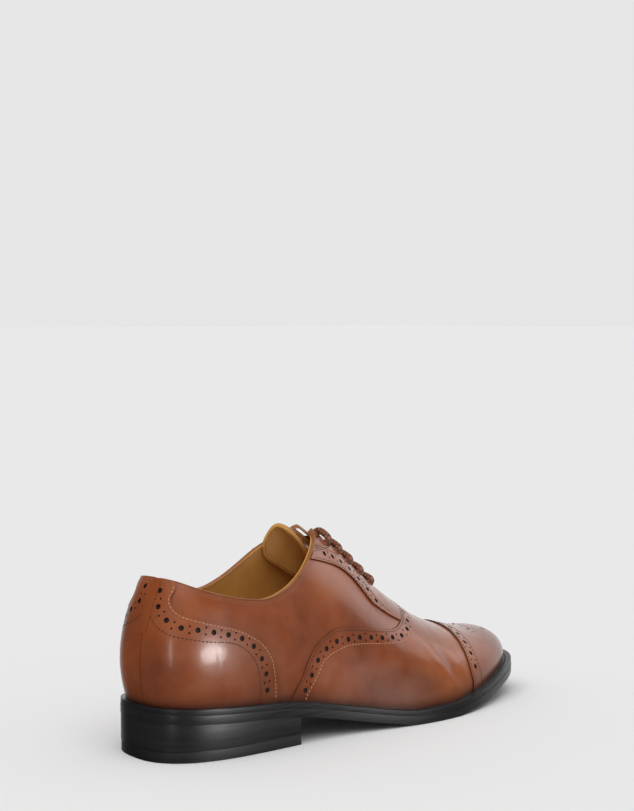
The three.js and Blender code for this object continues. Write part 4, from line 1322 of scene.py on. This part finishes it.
def makeLace():
    # each bar comes up through its hole, over the facing's edge and down the other side
    bars = []
    for row in range(lacing["rows"]):
        def half(side, steps=barSteps):
            found = []
            for span, up in steps:
                angle, girth = spotsOver(rowStation(row), span, side)
                found.append(skin(angle, girth, np.array([up]), False)[0])
            return found
        control = half(-1) + half(1, [barShape["middle"]]) + half(1)[::-1]
        line = throughPoints(control, barShape["curve"])
        run = runAlong(line)
        places = np.linspace(0, run[-1], barShape["spots"])
        line = readAt(line, run, places)
        tangent = unit(np.gradient(line, axis=0))
        sideways = unit(barLie - tangent * (tangent @ barLie)[:, None])
        up = np.cross(sideways, tangent)
        inside = np.clip(np.minimum(places, places[::-1]) / barShape["taper"], 0, 1)
        width = barShape["narrow"] + (1 - barShape["narrow"]) * inside
        bars.append(sweep("laceBar", line, sideways * width[:, None], up,
                          lacing["wide"], lacing["high"], lacing["low"], sides=20))
    bpy.ops.object.select_all(action="DESELECT")
    for bar in bars:
        bar.select_set(True)
    bpy.context.view_layer.objects.active = bars[0]
    bpy.ops.object.join()
    whole = bpy.context.object
    whole.name = whole.data.name = "lacedBars"
    finishPiece(whole, [laceBraid], smooth=180)
    settle(whole)


makeLace()
print("lace made")

# what stays from the frame

keptFinishes = {
    "shank": steel, "cork_filler": cork, "heel_seat": board, "heel_stiffener": board, "toe_puff": board,
    "vamp_backer": board, "insole": board, "lace": hiddenLace, "aglet_outer": aglet, "aglet_inner": aglet,
}
for nodeName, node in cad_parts.items():
    finish = keptFinishes.get(nodeName)
    if nodeName.startswith("eyelet"):
        finish = brass
    if nodeName.startswith("heel_nail"):
        finish = steel
    if finish:
        node.data.materials.clear()
        node.data.materials.append(finish)

for shape in (stitchShape, punchShape):
    bpy.data.objects.remove(shape)

# floor and light

studio = {
    "floor": 0.885, "seen": 0.791, "fill": 0.5, "sun": 1.5, "sunAngle": 70, "dim": 0.008, "backdrop": 1.25,
    "behind": (0.80, 0.58, 0.12), "boxReach": 1.5, "boxRise": 0.05, "sunTilt": (18, -22),
    "floorSize": 60, "floorDrop": 0.0002,
}
# soft boxes seen only in the shine: azimuth from straight out of the outer side, height, size, strength
softBoxes = [
    {"turn": 9, "rise": 0.0, "size": (0.34, 0.15), "power": 14.0},
    {"turn": -58, "rise": 3, "size": (0.10, 0.3), "power": 1.8},
    {"turn": 72, "rise": 27, "size": (0.42, 0.26), "power": 1.9},
    {"turn": -40, "rise": 62, "size": (0.8, 0.5), "power": 5.5},
]


def makeFloor():
    bpy.ops.mesh.primitive_plane_add(size=studio["floorSize"], location=(0, 0, -studio["floorDrop"]))
    floor = bpy.context.object
    floor.name = "floor"
    material, tree = newMaterial("paleFloor")
    pale = (*[studio["floor"]] * 3, 1)
    shader = tree.nodes["Principled BSDF"]
    setInputs(tree, shader, {"Base Color": pale, "Roughness": 1.0, "Specular IOR Level": 0.0})
    floor.data.materials.append(material)
    floor.visible_glossy = False


def makeWorld():
    # even fill, with a dim room in front of the shoe and a pale backdrop behind it in the reflections
    world = bpy.data.worlds.new("studioWorld")
    bpy.context.scene.world = world
    world.use_nodes = True
    tree = world.node_tree
    rays = addNode(tree, "LightPath", {})
    coords = addNode(tree, "TexCoord", {})["Generated"]
    turned = addNode(tree, "VectorMath", {0: coords, 1: studio["behind"]}, operation="DOT_PRODUCT")["Value"]
    around = mapRange(tree, turned, studio["dim"], studio["backdrop"], 0.5, 1.0)
    fill, seen = ((*[studio[shade]] * 3, 1) for shade in ("fill", "seen"))

    def either(ray, plain, special):
        return addNode(tree, "MixShader", {"Fac": rays[ray], 1: plain, 2: special})["Shader"]

    plain, shine, back = (addNode(tree, "Background", {"Color": colour})["Background"]
                          for colour in (fill, around, seen))
    lit = either("Is Glossy Ray", plain, shine)
    tree.links.new(either("Is Camera Ray", lit, back), tree.nodes["World Output"].inputs["Surface"])


def makeLights():
    tilt = [math.radians(turn) for turn in studio["sunTilt"]]
    bpy.ops.object.light_add(type="SUN", rotation=(*tilt, 0))
    sun = bpy.context.object
    sun.data.energy = studio["sun"]
    sun.data.angle = math.radians(studio["sunAngle"])
    sun.data.specular_factor = 0.0
    sun.visible_glossy = False
    for box in softBoxes:
        away = towards(box["turn"], box["rise"])
        place = away * studio["boxReach"] + Vector((0, 0, studio["boxRise"]))
        bpy.ops.object.light_add(type="AREA", location=place)
        light = bpy.context.object
        light.data.shape = "ELLIPSE"
        light.data.size, light.data.size_y = box["size"][0] * 2, box["size"][1] * 2
        light.data.energy = box["power"]
        light.rotation_mode = "QUATERNION"
        light.rotation_quaternion = (-away).to_track_quat("-Z", "Y")
        light.visible_diffuse = False
        light.visible_camera = False


makeFloor()
makeWorld()
makeLights()
bpy.context.scene.view_settings.view_transform = "Standard"
print("studio lit")
